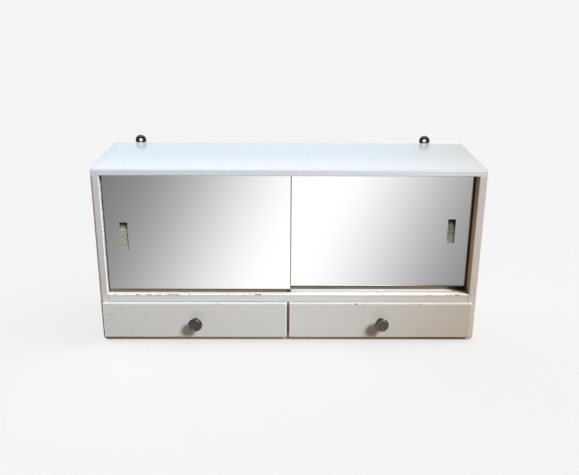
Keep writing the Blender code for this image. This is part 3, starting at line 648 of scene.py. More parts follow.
def drawer_front_light_and_shade(nodes, place, shade, middle, half):
    """Painted light on the upper edge with a painted shadow line along its rear, painted shade on the front
    corner, and painted highlights on the rounded ends.
    """
    x, y, z = nodes.apart(place)
    above = nodes.minus(z, middle.z + half.z - SURFACE)
    on_edge = nodes.smooth(above, 0.0, 0.0006)
    shade = nodes.smooth(above, 0.0, 0.0006, shade, nodes.span(x, *LIP_SPAN, LIP_PAINTED_LIGHT, LIP_PAINTED_LIGHT * 1.14))
    behind_face = nodes.minus(y, middle.y - half.y)
    # a painted shadow line along the rear of the upper edge
    painted_shade = nodes.times(on_edge, nodes.smooth(behind_face, 0.0053, 0.0075, 0.0, 0.50))
    # painted shade on the upper front corner
    corner = nodes.times(nodes.smooth(above, -0.0004, 0.0), nodes.smooth(behind_face, 0.0019, 0.0009))
    shade = nodes.times(shade, nodes.span(corner, 0.0, 1.0, 1.0, ROLL_PAINTED_SHADE))
    from_end = nodes.minus(half.x, nodes.size_of(nodes.minus(x, middle.x)))
    # painted highlights on the rounded ends
    rounded_end = nodes.smooth(from_end, 0.0030, 0.0016, 1.0, PAINTED_END_HIGHLIGHT)
    return nodes.times(shade, nodes.smooth(from_end, 0.0010, 0.0004, rounded_end, 1.0)), painted_shade


def roofed_over(nodes, place, name, shade, painted_shade):
    """A side's upper end is part of the cabinet's top, so there it takes the top's shade and no painted brown
    shade.
    """
    z = nodes.apart(place)[2]
    painted_shade = nodes.times(painted_shade, nodes.smooth(z, TOP_UNDER, TOP_UNDER - 0.0008))
    own_share = nodes.smooth(nodes.minus(CASE_TOP, z), 0.0010, CASE_TOP - TOP_UNDER)
    shade = nodes.plus(nodes.times(nodes.minus(shade, TOP_SHADE[name]), own_share), TOP_SHADE[name])
    return shade, painted_shade


# every one of them takes the same five things, though the sides need no box of their own
LIGHT_AND_SHADE_OF = {"case_left_side": left_side_light_and_shade, "case_right_side": right_side_painted_shade, "door_shelf": shelf_light_and_shadow,
        "left_drawer_front": drawer_front_light_and_shade, "right_drawer_front": drawer_front_light_and_shade}
# these boards carry painted light and shade of their own
print("boards with wear of their own:", sorted(LIGHT_AND_SHADE_OF))

# %% [markdown]
# With those in hand, one function paints any board.  The drawer fronts take one more step, because their
# rear edges were never painted and show the pine.

# %% Enamel on every painted board
def drawer_front_colour(nodes, place, middle, half, paint, seed):
    """The paint, with painted cool light in place of the yellowing along the upper edge, and bare pine behind
    the lip: colour and gloss.
    """
    x, y, z = nodes.apart(place)
    on_edge = nodes.smooth(nodes.minus(z, middle.z + half.z - SURFACE), 0.0, 0.0006)
    wood = nodes.group(wood_tree, Position=place, Early=PINE_LIGHT, Late=PINE_DARK, Seed=seed)
    ragged = nodes.plus(nodes.minus(y, middle.y - half.y), nodes.times(nodes.noise(place, 60.0), 0.002))
    bare = nodes.smooth(ragged, BARE_REAR - 0.0002, BARE_REAR + 0.0002)
    colour = nodes.tint(nodes.times(on_edge, nodes.span(x, *LIP_SPAN)), paint["Colour"], LIP_LIGHT_TINT)
    return nodes.blend(bare, colour, wood["Colour"]), nodes.times(paint["Gloss"], nodes.minus(1.0, bare))


def enamel(name, shade, edge_chips, dots, seed):
    """Enamel for one board, with the wear and the painted light and shade at its own edges."""
    material, nodes, shader, place = finish("enamel_" + name)
    middle, half = middle_and_half(name)
    edge = nodes.group(edge_tree, Position=place, Centre=middle, Half_size=half)["Distance"]
    longest = max(range(3), key=lambda axis: half[axis])
    z = nodes.apart(place)[2]
    knocked = nodes.span(z, middle.z - half.z * 0.4, middle.z + half.z * 0.4, edge_chips * 0.3, edge_chips)
    # the divider sits deep in the gap between the drawers, so it takes painted brown shade all over
    painted_shade = 1.0 if name == "drawer_divider" else 0.0
    if name in LIGHT_AND_SHADE_OF:
        shade, painted_shade = LIGHT_AND_SHADE_OF[name](nodes, place, shade, middle, half)
    if name in TOP_SHADE:
        shade, painted_shade = roofed_over(nodes, place, name, shade, painted_shade)
    paint = nodes.group(enamel_tree, Position=place, Edge=edge, Brush=BRUSH_ALONG[longest], Shade=shade,
                        Edge_chips=knocked, Dots=dots, Dirt=painted_shade, Seed=seed)
    colour, gloss = paint["Colour"], paint["Gloss"]
    if name.endswith("drawer_front"):
        colour, gloss = drawer_front_colour(nodes, place, middle, half, paint, seed)
    feed(nodes, shader, height=paint["Height"], height_scale=0.00012, Base_Color=colour,
         Roughness=paint["Roughness"], Coat_Weight=nodes.times(gloss, ENAMEL_COAT),
         Coat_Roughness=COAT_ROUGHNESS)
    return material


for name, wear in PAINTED.items():
    dress(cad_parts[name], enamel(name, *wear))
print("enamelled boards:", len(PAINTED))

# %% [markdown]
# ## Back, doors and drawer boxes
# The back is hardboard: pressed brown fibre, smooth inside, with the print of a wire screen outside.  The
# doors and the drawer bottoms are plywood, whose edges show the plies as stripes.  The boxes are plain
# pine.

# %% Hardboard
SCREEN_PITCH = 0.0014
BOARD_DARK, BOARD_LIGHT = light_colour(0.235, 0.135, 0.070), light_colour(0.315, 0.195, 0.105)
FIBRE_DARK, BOARD_STAIN = light_colour(0.15, 0.085, 0.045), light_colour(0.12, 0.07, 0.04)
STRAY_PAINT = light_colour(0.76, 0.78, 0.80)    # what the brush left on the board's upper edge


def hardboard():
    """Pressed fibre, with the screen's print on the outer face only."""
    material, nodes, shader, place = finish("hardboard")
    x, y, z = nodes.apart(place)
    fibre = nodes.noise(place, 900.0, 3.0, 0.7)
    cloud = nodes.noise(place, 11.0, 4.0, 0.6, 2.0)
    stain = nodes.smooth(nodes.noise(place, 5.0, 3.0, 0.6, 7.0), 0.58, 0.70)
    waves = [nodes.math("SINE", nodes.times(axis, math.tau / SCREEN_PITCH)) for axis in (x, z)]
    outer = nodes.math("GREATER_THAN", y, middle_and_half("back_panel")[0].y)
    screen = nodes.times(nodes.plus(*waves), outer)
    colour = nodes.blend(nodes.smooth(cloud, 0.3, 0.7), BOARD_DARK, BOARD_LIGHT)
    colour = nodes.blend(nodes.span(fibre, 0.35, 0.7, 0.0, 0.6), colour, FIBRE_DARK)
    colour = nodes.blend(nodes.times(stain, 0.35), colour, BOARD_STAIN)
    ragged = nodes.plus(z, nodes.times(nodes.noise(place, 45.0, 3.0), 0.0012))
    painted = nodes.smooth(ragged, CASE_TOP - 0.0002, CASE_TOP + 0.0003)
    colour = nodes.blend(painted, colour, STRAY_PAINT)
    fibre_rough = nodes.span(fibre, 0.3, 0.7, 0.62, 0.82)
    feed(nodes, shader, height=nodes.plus(nodes.times(screen, 0.25), fibre),
         height_scale=0.00025, Base_Color=colour,
         Roughness=nodes.minus(fibre_rough, nodes.times(painted, 0.35)))
    return material


dress(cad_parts["back_panel"], hardboard())
print("hardboard: screen pitch", SCREEN_PITCH)

# %% [markdown]
# Plywood is built up in layers, so a cut edge shows them as stripes: count how far through the board a
# spot lies and colour odd and even layers differently.  Pine is one plank, and its grain runs along each
# drawer part.

# %% Plywood and pine
PLY_LIGHT, PLY_DARK = light_colour(0.25, 0.19, 0.112), light_colour(0.14, 0.100, 0.054)
PLY_COUNT = 3
RIM_SKIN = 0.00002          # a spot is on a cut edge when it lies this near to it
# painted black shadow in the doors' lower right corners: its length and height
FOOT_PAINTED_SHADOW = {"left_door_board": (0.0090, 0.0080), "right_door_board": (0.036, 0.0105)}
SHADOW_BLACK = light_colour(0.012, 0.010, 0.007)
PLY_END_DARK = light_colour(0.12, 0.075, 0.04)
BOX_DUST = light_colour(0.38, 0.30, 0.21)


def plywood(name, node, thin_axis, turn, seed):
    """Plywood: a faced sheet whose edges show PLY_COUNT plies across thin_axis."""
    material, nodes, shader, place = finish(name)
    middle, half = middle_and_half(node)
    face = nodes.group(wood_tree, Position=nodes.turned(place, turn), Early=PLY_LIGHT, Late=PLY_DARK,
                       Seed=seed)
    through = nodes.apart(nodes.vector("SUBTRACT", place, middle - half))[thin_axis]
    share = nodes.over(through, 2 * half[thin_axis])
    inner_ply = nodes.math("GREATER_THAN", nodes.math("PINGPONG", nodes.times(share, PLY_COUNT), 1.0), 0.5)
    spots = [nodes.size_of(part) for part in nodes.apart(nodes.vector("SUBTRACT", place, middle))]
    edges = [nodes.math("GREATER_THAN", spots[axis], half[axis] - RIM_SKIN)
             for axis in range(3) if axis != thin_axis]
    rim = nodes.larger(*edges)
    end_grain = nodes.noise(place, 1500.0, 2.0, 0.6, seed)
    facing = face["Colour"]
    # painted black shadow in the lower right corner
    if node in FOOT_PAINTED_SHADOW:
        x, z = nodes.apart(place)[::2]
        length, height = FOOT_PAINTED_SHADOW[node]
        corner = middle + Vector((half.x, 0, -half.z))
        shadowed = nodes.times(nodes.smooth(x, corner.x - length, corner.x - length * 0.55),
                          nodes.smooth(z, corner.z + height, corner.z + height * 0.7))
        facing = nodes.blend(nodes.times(shadowed, 0.94), facing, SHADOW_BLACK)
    layered = nodes.blend(nodes.times(inner_ply, 0.75), face["Colour"],
                          nodes.blend(end_grain, PLY_DARK, PLY_END_DARK))
    feed(nodes, shader, height=face["Height"], height_scale=0.0001,
         Base_Color=nodes.blend(rim, facing, layered), Roughness=face["Roughness"])
    return material


def pine(name, turn, seed):
    """Plain pine with a film of dust, its grain turned to run along the part."""
    material, nodes, shader, place = finish(name)
    grain = nodes.group(wood_tree, Position=nodes.turned(place, turn), Early=PINE_LIGHT, Late=PINE_DARK,
                        Seed=seed)
    dust = nodes.smooth(nodes.noise(place, 30.0, 4.0, 0.6, seed), 0.45, 0.7)
    feed(nodes, shader, height=grain["Height"], height_scale=0.00012,
         Base_Color=nodes.blend(nodes.times(dust, 0.3), grain["Colour"], BOX_DUST),
         Roughness=grain["Roughness"])
    return material


QUARTER = math.pi / 2
for seed, hand in enumerate(("left", "right"), 20):
    dress(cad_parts[f"{hand}_door_board"],
          plywood(f"plywood_{hand}_door", f"{hand}_door_board", 1, (0, 0, 0), seed))
    dress(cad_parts[f"{hand}_drawer_bottom"],
          plywood(f"plywood_{hand}_drawer", f"{hand}_drawer_bottom", 2, (0, 0, QUARTER), seed + 4))
    dress(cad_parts[f"{hand}_drawer_back"], pine(f"pine_{hand}_back", (0, 0, 0), seed + 8))
    for number, side in enumerate(("left", "right")):
        dress(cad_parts[f"{hand}_drawer_{side}_side"],
              pine(f"pine_{hand}_{side}", (0, 0, QUARTER), seed + 12 + number))
print("wood: doors and drawer boxes")

# %% [markdown]
# ## Making surfaces with numpy
# A new piece is a grid of points worked out as whole arrays: one parameter runs along a profile, the
# other round or along a path.  The faces join each point to its neighbours.  If the closed surface's
# signed volume comes out negative its faces look inwards, so they are all reversed.

# %% Helpers for new pieces
def grid_faces(rows, columns, close_rows=False, close_columns=True):
    """Four-sided faces of a grid of points, row by row, joined round in either direction if asked."""
    row = np.arange(rows if close_rows else rows - 1)[:, None]
    column = np.arange(columns if close_columns else columns - 1)[None, :]
    below, beside = (row + 1) % rows, (column + 1) % columns
    corners = [row * columns + column, row * columns + beside,
               below * columns + beside, below * columns + column]
    return np.stack(np.broadcast_arrays(*corners), -1).reshape(-1, 4)


def signed_volume(points, faces):
    """Volume inside the faces: the sum of the tents from the origin to each, below nought if they look in."""
    total = 0.0
    for face in faces:
        a, b, c = (points[face[:, k]] for k in (0, 1, 2))
        total += np.einsum("ij,ij->i", a, np.cross(b, c)).sum() / 6
        if face.shape[1] == 4:
            d = points[face[:, 3]]
            total += np.einsum("ij,ij->i", a, np.cross(c, d)).sum() / 6
    return total


def faced_out(points, faces):
    """A closed shell's points and faces, the faces turned over if they look in."""
    points = np.asarray(points, float).reshape(-1, 3)
    if signed_volume(points - points.mean(0), faces) < 0:
        faces = [face[:, ::-1] for face in faces]
    return points, faces


def together(*shells):
    """Several closed shells as one set of points and faces."""
    points, faces, count = [], [], 0
    for shell_points, shell_faces in shells:
        shell_points, shell_faces = faced_out(shell_points, shell_faces)
        points.append(shell_points)
        faces += [face + count for face in shell_faces]
        count += len(shell_points)
    return np.concatenate(points), faces


def prism(section, start, end, place):
    """A flat section of (a, b) points carried from start to end.  place turns arrays a, b and run into
    x, y, z.  Its ends are fans of triangles from the section's first point, which must see all the others."""
    a, b = np.asarray(section, float).T
    count, here = len(a), np.arange(len(a))
    points = np.concatenate([np.stack(np.broadcast_arrays(*place(a, b, np.full(count, run))), -1)
                             for run in (start, end)])
    fan = np.stack([np.zeros(count - 2, int), here[1:-1], here[2:]], -1)
    return points, [grid_faces(2, count), fan[:, ::-1], fan + count]


def slab(upper, lower):
    """A closed sheet between two grids of points, joined by a skirt round their rims."""
    rows, columns = upper.shape[:2]
    count = rows * columns
    order = np.arange(count).reshape(rows, columns)
    rim = np.concatenate([order[0, :-1], order[:-1, -1], order[-1, :0:-1], order[:0:-1, 0]])
    skirt = np.stack([rim, np.roll(rim, -1), np.roll(rim, -1) + count, rim + count], -1)
    sheet = grid_faces(rows, columns, close_columns=False)
    points = np.concatenate([upper.reshape(-1, 3), lower.reshape(-1, 3)])
    return points, [sheet, sheet[:, ::-1] + count, skirt[:, ::-1]]


def make_piece(name, points, faces, body, slot, replaced=(), sharp=30.0):
    """A mesh piece that rides on a body, from points and arrays of faces, looking outwards."""
    points, faces = faced_out(points, faces)
    centred = points - points.mean(0)
    mesh = bpy.data.meshes.new(name)
    mesh.from_pydata(points.tolist(), [], [list(map(int, corner)) for face in faces for corner in face])
    mesh.validate()
    mesh.shade_smooth()
    mesh.set_sharp_from_angle(angle=math.radians(sharp))
    piece = bpy.data.objects.new(name, mesh)
    bpy.context.scene.collection.objects.link(piece)
    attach(piece, body)
    if replaced:
        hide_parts(*replaced)
    print(f"{name}: {len(mesh.polygons)} faces, {abs(signed_volume(centred, faces)) * 1e9:.0f} cubic mm")
    return piece


# %% [markdown]
# ## Mirrors
# Each mirror is 3 mm plate glass, silvered behind, with its front edges ground to a narrow slope that
# catches the light as a thin line.  A rectangular hole is cut through it for the finger pull.  The plate
# is one closed band: six rectangles, from the hole's back edge over the face to the outer back edge,
# joined in a ring.

# %% Mirror plates
ARRIS = 0.0006
HOLE_ARRIS = 0.0002
BARE_STRIP = {"left": (0.0004, 0.0010), "right": (0.0, 0.0)}    # door board left bare beside the glass
OUTLINE_MARGIN = 0.002      # corners further in than this belong to the hole
GROUND_GLASS = light_colour(0.27, 0.28, 0.22)
FOOT_REFLECTION_SHADE = light_colour(0.26, 0.26, 0.25)       # painted shade at the right-hand foot of the glass, dimming the shelf's reflection there
SILVER, HAZED = light_colour(0.94, 0.94, 0.94), light_colour(0.92, 0.92, 0.92)
LOST_SILVER = light_colour(0.30, 0.28, 0.25)


def rectangle(x, z, y, grow=0.0):
    """Corners of an upright rectangle between two x and two z, made larger all round by grow."""
    (left, right), (low, high) = x, z
    return [(left - grow, y, low - grow), (right + grow, y, low - grow),
            (right + grow, y, high + grow), (left - grow, y, high + grow)]


def hole_in(node):
    """The finger pull's hole: the span of the node's corners that lie inside its outline, in x and in z."""
    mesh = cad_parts[node].data
    points = np.zeros(len(mesh.vertices) * 3)
    mesh.vertices.foreach_get("co", points)
    points = points.reshape(-1, 3)
    low, high = points.min(0), points.max(0)
    within = (points > low + OUTLINE_MARGIN) & (points < high - OUTLINE_MARGIN)
    inner = points[within[:, 0] & within[:, 2]]
    return (inner[:, 0].min(), inner[:, 0].max()), (inner[:, 2].min(), inner[:, 2].max())


def mirror_finish(hand, seed):
    """Silvered glass: bright, with a breath of haze, ground edges, specks where the silver has gone, and
    painted shade at its right-hand foot.
    """
    material, nodes, shader, place = finish(f"mirror_{hand}")
    middle, half = middle_and_half(f"{hand}_door_mirror")
    left_strip, right_strip = BARE_STRIP[hand]
    middle = middle + Vector(((left_strip - right_strip) / 2, 0, 0))
    half = half - Vector(((left_strip + right_strip) / 2, 0, 0))
    edge = nodes.group(edge_tree, Position=place, Centre=middle, Half_size=half)["Distance"]
    ground = nodes.smooth(edge, ARRIS * 0.97, ARRIS * 1.03, 1.0, 0.0)
    haze = nodes.noise(place, 16.0, 4.0, 0.6, seed)
    lost = nodes.times(nodes.smooth(edge, 0.0008, 0.0040, 1.0, 0.0),
                       nodes.smooth(nodes.noise(place, 160.0, 3.0, 0.6, seed), 0.66, 0.72))
    silver = nodes.blend(nodes.smooth(haze, 0.4, 0.8), SILVER, HAZED)
    silver = nodes.blend(nodes.times(lost, 0.6), silver, LOST_SILVER)
    x, z = nodes.apart(place)[::2]
    # painted shade along the foot of the glass on the right
    foot = nodes.times(nodes.smooth(z, middle.z - half.z + 0.0028, middle.z - half.z + 0.0018),
                       nodes.smooth(x, 0.14, 0.25))
    silver = nodes.blend(foot, silver, FOOT_REFLECTION_SHADE)
    colour = nodes.blend(ground, silver, GROUND_GLASS)
    rough = nodes.plus(nodes.times(ground, 0.30), nodes.times(lost, 0.25))
    rough = nodes.plus(rough, nodes.smooth(haze, 0.55, 0.9, 0.0, 0.03))
    feed(nodes, shader, Base_Color=colour, Metallic=1.0, Roughness=rough)
    return material


for seed, hand in enumerate(("left", "right"), 30):
    node = f"{hand}_door_mirror"
    low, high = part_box(node)
    hole_x, hole_z = hole_in(node)
    face_x, face_z = (low.x + BARE_STRIP[hand][0], high.x - BARE_STRIP[hand][1]), (low.z, high.z)
    step = low.y + ARRIS
    rings = [rectangle(hole_x, hole_z, high.y), rectangle(hole_x, hole_z, low.y + HOLE_ARRIS),
             rectangle(hole_x, hole_z, low.y, HOLE_ARRIS), rectangle(face_x, face_z, low.y, -ARRIS),
             rectangle(face_x, face_z, step), rectangle(face_x, face_z, high.y)]
    plate = make_piece(f"{hand}_mirror_plate", rings, [grid_faces(6, 4, close_rows=True)], f"{hand}_door",
                       "mirror_glass", [node], sharp=20.0)
    dress(plate, mirror_finish(hand, seed))

# %% [markdown]
# ## Finger pulls
# Behind each hole the board is hollowed out.  The bottom of the hollow was chopped with a chisel and
# never sanded, so it is a stack of short ridges.  It is made as a height over the hollow's floor: slow
# waves across, broken by noise, on a closed slab that lies in the hollow.  The floor is deepest at its
# upper end, where the fingertip hooks in, and climbs towards the face below that.

# %% Pull recess floors
RECESS_SLACK = 0.00025
RIDGE_HEIGHT = 0.0011
RIDGE_PITCH = 0.0042
CHISEL_STRETCH = (120.0, 300.0, 520.0)
POCKET_DEPTH = 0.004        # of the hollow in the board
FLOOR_LEAST = 0.0002        # thinnest the floor gets
DEEP_END = 0.003            # height of the deep end, before the floor climbs


def chopped(across, up, seed):
    """Height of the chopped floor, 0 to 1: saw-toothed ridges that wander sideways, with finer chatter."""
    draw = np.random.default_rng(seed)
    phase = draw.uniform(0, math.tau, 6)
    wander = 0.6 * np.sin(across * 420 + phase[0]) + 0.5 * np.sin(across * 900 + up * 300 + phase[1])
    tooth = (up / RIDGE_PITCH + 0.35 * wander + 0.25 * np.sin(up * 310 + phase[2])) % 1.0
    bent = up * 5200 + phase[3] + 3 * np.sin(across * 700 + phase[4])
    chatter = np.sin(bent) * np.sin(across * 2300 + phase[5])
    return np.clip(0.72 * tooth ** 1.4 + 0.14 * chatter + 0.14, 0, 1)


def recess_finish(hand, pale, deep, top, seed):
    """Raw chopped wood, paler on the ridges, with painted shadow in the deep end below top and painted shade
    below that.
    """
    material, nodes, shader, place = finish(f"chopped_wood_{hand}")
    grain = nodes.group(wood_tree, Position=place, Early=pale, Late=deep, Seed=seed)
    streak = nodes.noise(nodes.stretched(place, CHISEL_STRETCH), 1.0, 3.0, 0.6, seed)
    colour = nodes.blend(nodes.smooth(streak, 0.35, 0.65), grain["Colour"], deep)
    colour = nodes.blend(nodes.smooth(streak, 0.62, 0.75), colour, pale)
    # painted shadow under the glass's upper edge, and painted shade a little lower
    below_top = nodes.minus(top, nodes.apart(place)[2])
    shade_below_top = nodes.smooth(below_top, 0.040, 0.010, 0.0, RECESS_SHADOW_REACH[hand])
    grime_and_shadow = nodes.smooth(below_top, 0.0155, 0.0055, 0.0, 0.94)
    for share in (shade_below_top, grime_and_shadow):
        colour = nodes.blend(share, colour, RECESS_SHADOW[hand])
    feed(nodes, shader, height=nodes.plus(grain["Height"], streak), height_scale=0.0004,
         Base_Color=colour, Roughness=nodes.span(streak, 0.3, 0.7, 0.5, 0.75))
    return material


# the right hollow's colours are darker: painted shade
RECESS_COLOURS = {"left": (light_colour(0.52, 0.53, 0.44), light_colour(0.36, 0.36, 0.29)),
                  "right": (light_colour(0.48, 0.45, 0.375), light_colour(0.275, 0.25, 0.20))}
RECESS_SHADOW_REACH = {"left": 0.0, "right": 0.48}      # how much painted shade reaches down below the deep end
# the colour of the painted shadow in each deep end
RECESS_SHADOW = {"left": light_colour(0.085, 0.085, 0.068), "right": light_colour(0.020, 0.017, 0.013)}
PULL_RISE = 0.0042      # how far the floor climbs from its deep end, where the fingertip hooks in
PULL_RAMP = 0.013       # over this much height
for seed, hand in enumerate(("left", "right"), 40):
    hole_x, hole_z = hole_in(f"{hand}_door_mirror")
    floor_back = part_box(f"{hand}_door_board")[0].y + POCKET_DEPTH - RECESS_SLACK
    across = np.linspace(hole_x[0] + RECESS_SLACK, hole_x[1] - RECESS_SLACK, 41)
    up = np.linspace(hole_z[0] + RECESS_SLACK, hole_z[1] - RECESS_SLACK, 131)
    grid_x, grid_z = np.meshgrid(across, up)
    climb = np.clip((hole_z[1] - grid_z - DEEP_END) / PULL_RAMP, 0, 1)
    climb = climb * climb * (3 - 2 * climb)
    floor_front = floor_back - FLOOR_LEAST - RIDGE_HEIGHT * chopped(grid_x, grid_z, seed) - PULL_RISE * climb
    face = np.stack([grid_x, floor_front, grid_z], -1)
    back = np.stack([grid_x, np.full_like(grid_x, floor_back), grid_z], -1)
    piece = make_piece(f"{hand}_pull_floor", *slab(face, back), f"{hand}_door", "door_plywood")
    dress(piece, recess_finish(hand, *RECESS_COLOURS[hand], hole_z[1], seed))

# %% [markdown]
# ## Knobs
# Each knob was turned on a lathe: a foot, a waisted neck, and a head with a rolled rim, a rounded
# shoulder, a fine groove and a slightly hollow face.  The lathe's work is a profile of radius and height
# spun about an axis that points to the front.  The profile is drawn through a few points with arcs
# between them.

# %% Knob shapes
KNOB_STEPS = 96
SCREW_BORE, BORE_DEPTH = 0.0023, 0.0073     # of the screw's hole in a knob's foot: radius and depth
TURNING_RINGS = 16000.0                     # the lathe's rings, in radians to the metre
POLISHED = light_colour(1.7, 1.7, 1.7)


def curve_through(points, count):
    """Points spaced along a smooth line through a few: Catmull and Rom's blend of each four neighbours."""
    p = np.array([points[0], *points, points[-1]], float)
    spot = np.linspace(0, len(points) - 1, count)
    k = np.minimum(spot.astype(int), len(points) - 2)
    t = (spot - k)[:, None]
    a, b, c, d = p[k], p[k + 1], p[k + 2], p[k + 3]
    bend, twist = 2 * a - 5 * b + 4 * c - d, 3 * b - a - 3 * c + d
    return 0.5 * (2 * b + (c - a) * t + bend * t ** 2 + twist * t ** 3)


def spun(profile, centre, steps):
    """A profile of (radius, height) spun about the axis to the front and closed at both poles, as points
    and faces."""
    profile = np.asarray(profile, float)
    angle = np.linspace(0, math.tau, steps, endpoint=False)
    radius, height = profile[1:-1, 0][:, None], profile[1:-1, 1][:, None]
    ring = np.stack([radius * np.cos(angle), np.broadcast_to(-height, (len(radius), steps)),
                     radius * np.sin(angle)], -1).reshape(-1, 3)
    poles = np.array([[0, -profile[0, 1], 0], [0, -profile[-1, 1], 0]])
    points = np.concatenate([ring, poles]) + np.array(centre)
    count, here = len(ring), np.arange(steps)
    beside = (here + 1) % steps
    first = np.stack([np.full(steps, count), beside, here], -1)
    last = np.stack([np.full(steps, count + 1), here + count - steps, beside + count - steps], -1)
    return points, [grid_faces(len(radius), steps), first, last]


def knob_profile(reach, head):
    """From the face's middle, over the rim, down the neck to the foot, and up the screw's hole."""
    face = curve_through([(0.0, -0.00042), (0.0030, -0.00041), (0.0060, -0.00036), (0.0077, -0.00030)], 12)
    groove = [(0.00785, -0.00040), (0.00800, -0.00044), (0.00815, -0.00038)]
    lip = curve_through([(0.0083, -0.00008), (0.0088, -0.00002), (0.0096, -0.00030), (0.0104, -0.00100),
                         (0.01085, -0.00180), (head, -0.00290)], 24)
    rim = curve_through([(head, -0.0034), (head - 0.0002, -0.0040), (head - 0.0012, -0.0044),
                         (0.0070, -0.0048), (0.0050, -0.0055), (0.0042, -0.0074), (0.0039, -0.0100),
                         (0.0040, -0.0128), (0.0043, -0.0150), (0.0049, -0.0163)], 38)
    foot = curve_through([(0.0052, -0.0170), (0.0052, -0.0180), (0.0050, -0.0185)], 6)
    outside = np.concatenate([face, groove, lip, rim, foot])
    outside[:, 1] += reach
    return np.concatenate([outside, [(SCREW_BORE, 0.0), (SCREW_BORE, BORE_DEPTH), (0.0, BORE_DEPTH)]])


GRIME = light_colour(0.38, 0.34, 0.30)


def knob_finish(hand, middle, clean, dull, seed):
    """Pewter: dull in the face's hollow, cleaner on the rim where fingers rub, with the lathe's rings."""
    material, nodes, shader, place = finish(f"pewter_{hand}")
    own = nodes.vector("SUBTRACT", place, middle)
    x, z = nodes.apart(own)[::2]
    radius = nodes.length(nodes.joined(x, 0.0, z))
    metal = nodes.group(metal_tree, Position=own, Clean=clean, Dull=dull, Patch_size=0.006, Seed=seed)
    turning = nodes.math("SINE", nodes.times(radius, TURNING_RINGS))
    rubbed_and_lit = nodes.smooth(nodes.size_of(nodes.minus(radius, 0.0086)), 0.0002, 0.0007, 1.0, 0.0)
    colour = nodes.blend(nodes.times(rubbed_and_lit, 0.45), metal["Colour"], nodes.tint(1.0, clean, POLISHED))
    grime_and_shadow = nodes.smooth(radius, 0.0094, 0.0102)
    colour = nodes.tint(nodes.times(grime_and_shadow, 0.6), colour, GRIME)
    feed(nodes, shader, height=nodes.plus(metal["Height"], nodes.times(turning, 0.3)),
         height_scale=0.00005, Base_Color=colour, Metallic=1.0, Roughness=metal["Roughness"])
    return material


KNOB_COLOURS = {"left": (light_colour(0.105, 0.108, 0.106), light_colour(0.070, 0.070, 0.063)),
                "right": (light_colour(0.17, 0.163, 0.145), light_colour(0.105, 0.098, 0.082))}
for seed, hand in enumerate(("left", "right"), 50):
    node = f"{hand}_drawer_knob"
    low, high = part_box(node)
    middle = ((low.x + high.x) / 2, high.y, (low.z + high.z) / 2)
    reach = high.y - low.y
    points, faces = spun(knob_profile(reach, (high.x - low.x) / 2), middle, KNOB_STEPS)
    knob = make_piece(f"{hand}_turned_knob", points, faces, f"{hand}_drawer", "knob_metal", [node],
                      sharp=50.0)
    dress(knob, knob_finish(hand, middle, *KNOB_COLOURS[hand], seed))

# %% [markdown]
# ## Hangers, screws and pins
# The two hangers are stamped from sheet, and their edges are soft.  A stamping is a flat outline with
# holes, given a thickness and a small round at every edge, which is just what a filled flat curve with a
# bevel makes.

# %% Hanger plates
SOFT_EDGE = 0.00035
BROWN_CLEAN, BROWN_DULL = light_colour(0.085, 0.040, 0.024), light_colour(0.026, 0.012, 0.009)
BLOOM = light_colour(0.17, 0.20, 0.17)


def arc(centre, radius, start, end, steps):
    """Points on an arc about (x, z), from one angle to another in degrees."""
    angle = np.radians(np.linspace(start, end, steps + 1))
    return np.stack([centre[0] + radius * np.cos(angle), centre[1] + radius * np.sin(angle)], -1)


def stamped(name, outlines, y, thickness):
    """A flat curve of closed outlines, the first outside and the rest holes, filled, bevelled and meshed."""
    curve = bpy.data.curves.new(name, "CURVE")
    curve.dimensions = "2D"
    curve.fill_mode = "BOTH"
    curve.extrude = thickness / 2 - SOFT_EDGE
    curve.bevel_depth = SOFT_EDGE
    curve.bevel_resolution = 2
    for outline in outlines:
        spline = curve.splines.new("POLY")
        spline.points.add(len(outline) - 1)
        flat = np.zeros((len(outline), 4))
        flat[:, :2], flat[:, 3] = outline, 1.0
        spline.points.foreach_set("co", flat.ravel())
        spline.use_cyclic_u = True
    shape = bpy.data.objects.new(name + "_curve", curve)
    bpy.context.scene.collection.objects.link(shape)
    bpy.context.view_layer.update()
    mesh = bpy.data.meshes.new_from_object(shape.evaluated_get(bpy.context.evaluated_depsgraph_get()))
    bpy.data.objects.remove(shape)
    mesh.transform(Matrix.Translation((0, y, 0)) @ Matrix.Rotation(QUARTER, 4, "X"))
    whole = bmesh.new()
    whole.from_mesh(mesh)
    bmesh.ops.remove_doubles(whole, verts=whole.verts, dist=1e-6)
    bmesh.ops.recalc_face_normals(whole, faces=whole.faces)
    open_edges = sum(not edge.is_manifold for edge in whole.edges)
    whole.to_mesh(mesh)
    whole.free()
    mesh.materials.clear()
    mesh.shade_smooth()
    mesh.set_sharp_from_angle(angle=math.radians(40))
    print(name + ":", len(mesh.polygons), "faces,", open_edges, "open edges")
    return mesh


def hanger_outlines(head, screws):
    """A round head on a round-ended foot, the wall hook's hole and the two screws' holes, as closed outlines.
    The bevel adds SOFT_EDGE all round, so each outline stays that much within the metal."""
    x, z = head[:2]
    radius, foot = head[2] - SOFT_EDGE, FOOT_RADIUS - SOFT_EDGE
    opening = math.degrees(math.asin((FOOT_Z + foot - z) / radius))
    outside = np.concatenate([arc((x, z), radius, opening, 180 - opening, 48),
                              arc((x - FOOT_END, FOOT_Z), foot, 90, 270, 16),
                              arc((x + FOOT_END, FOOT_Z), foot, -90, 90, 16)])
    holes = [arc((x, z), HOOK_HOLE + SOFT_EDGE, 0, 360, 48)[:-1]]
    holes += [arc((spot, FOOT_Z), SCREW_HOLE + SOFT_EDGE, 0, 360, 32)[:-1] for spot in screws]
    return [outside, *holes]


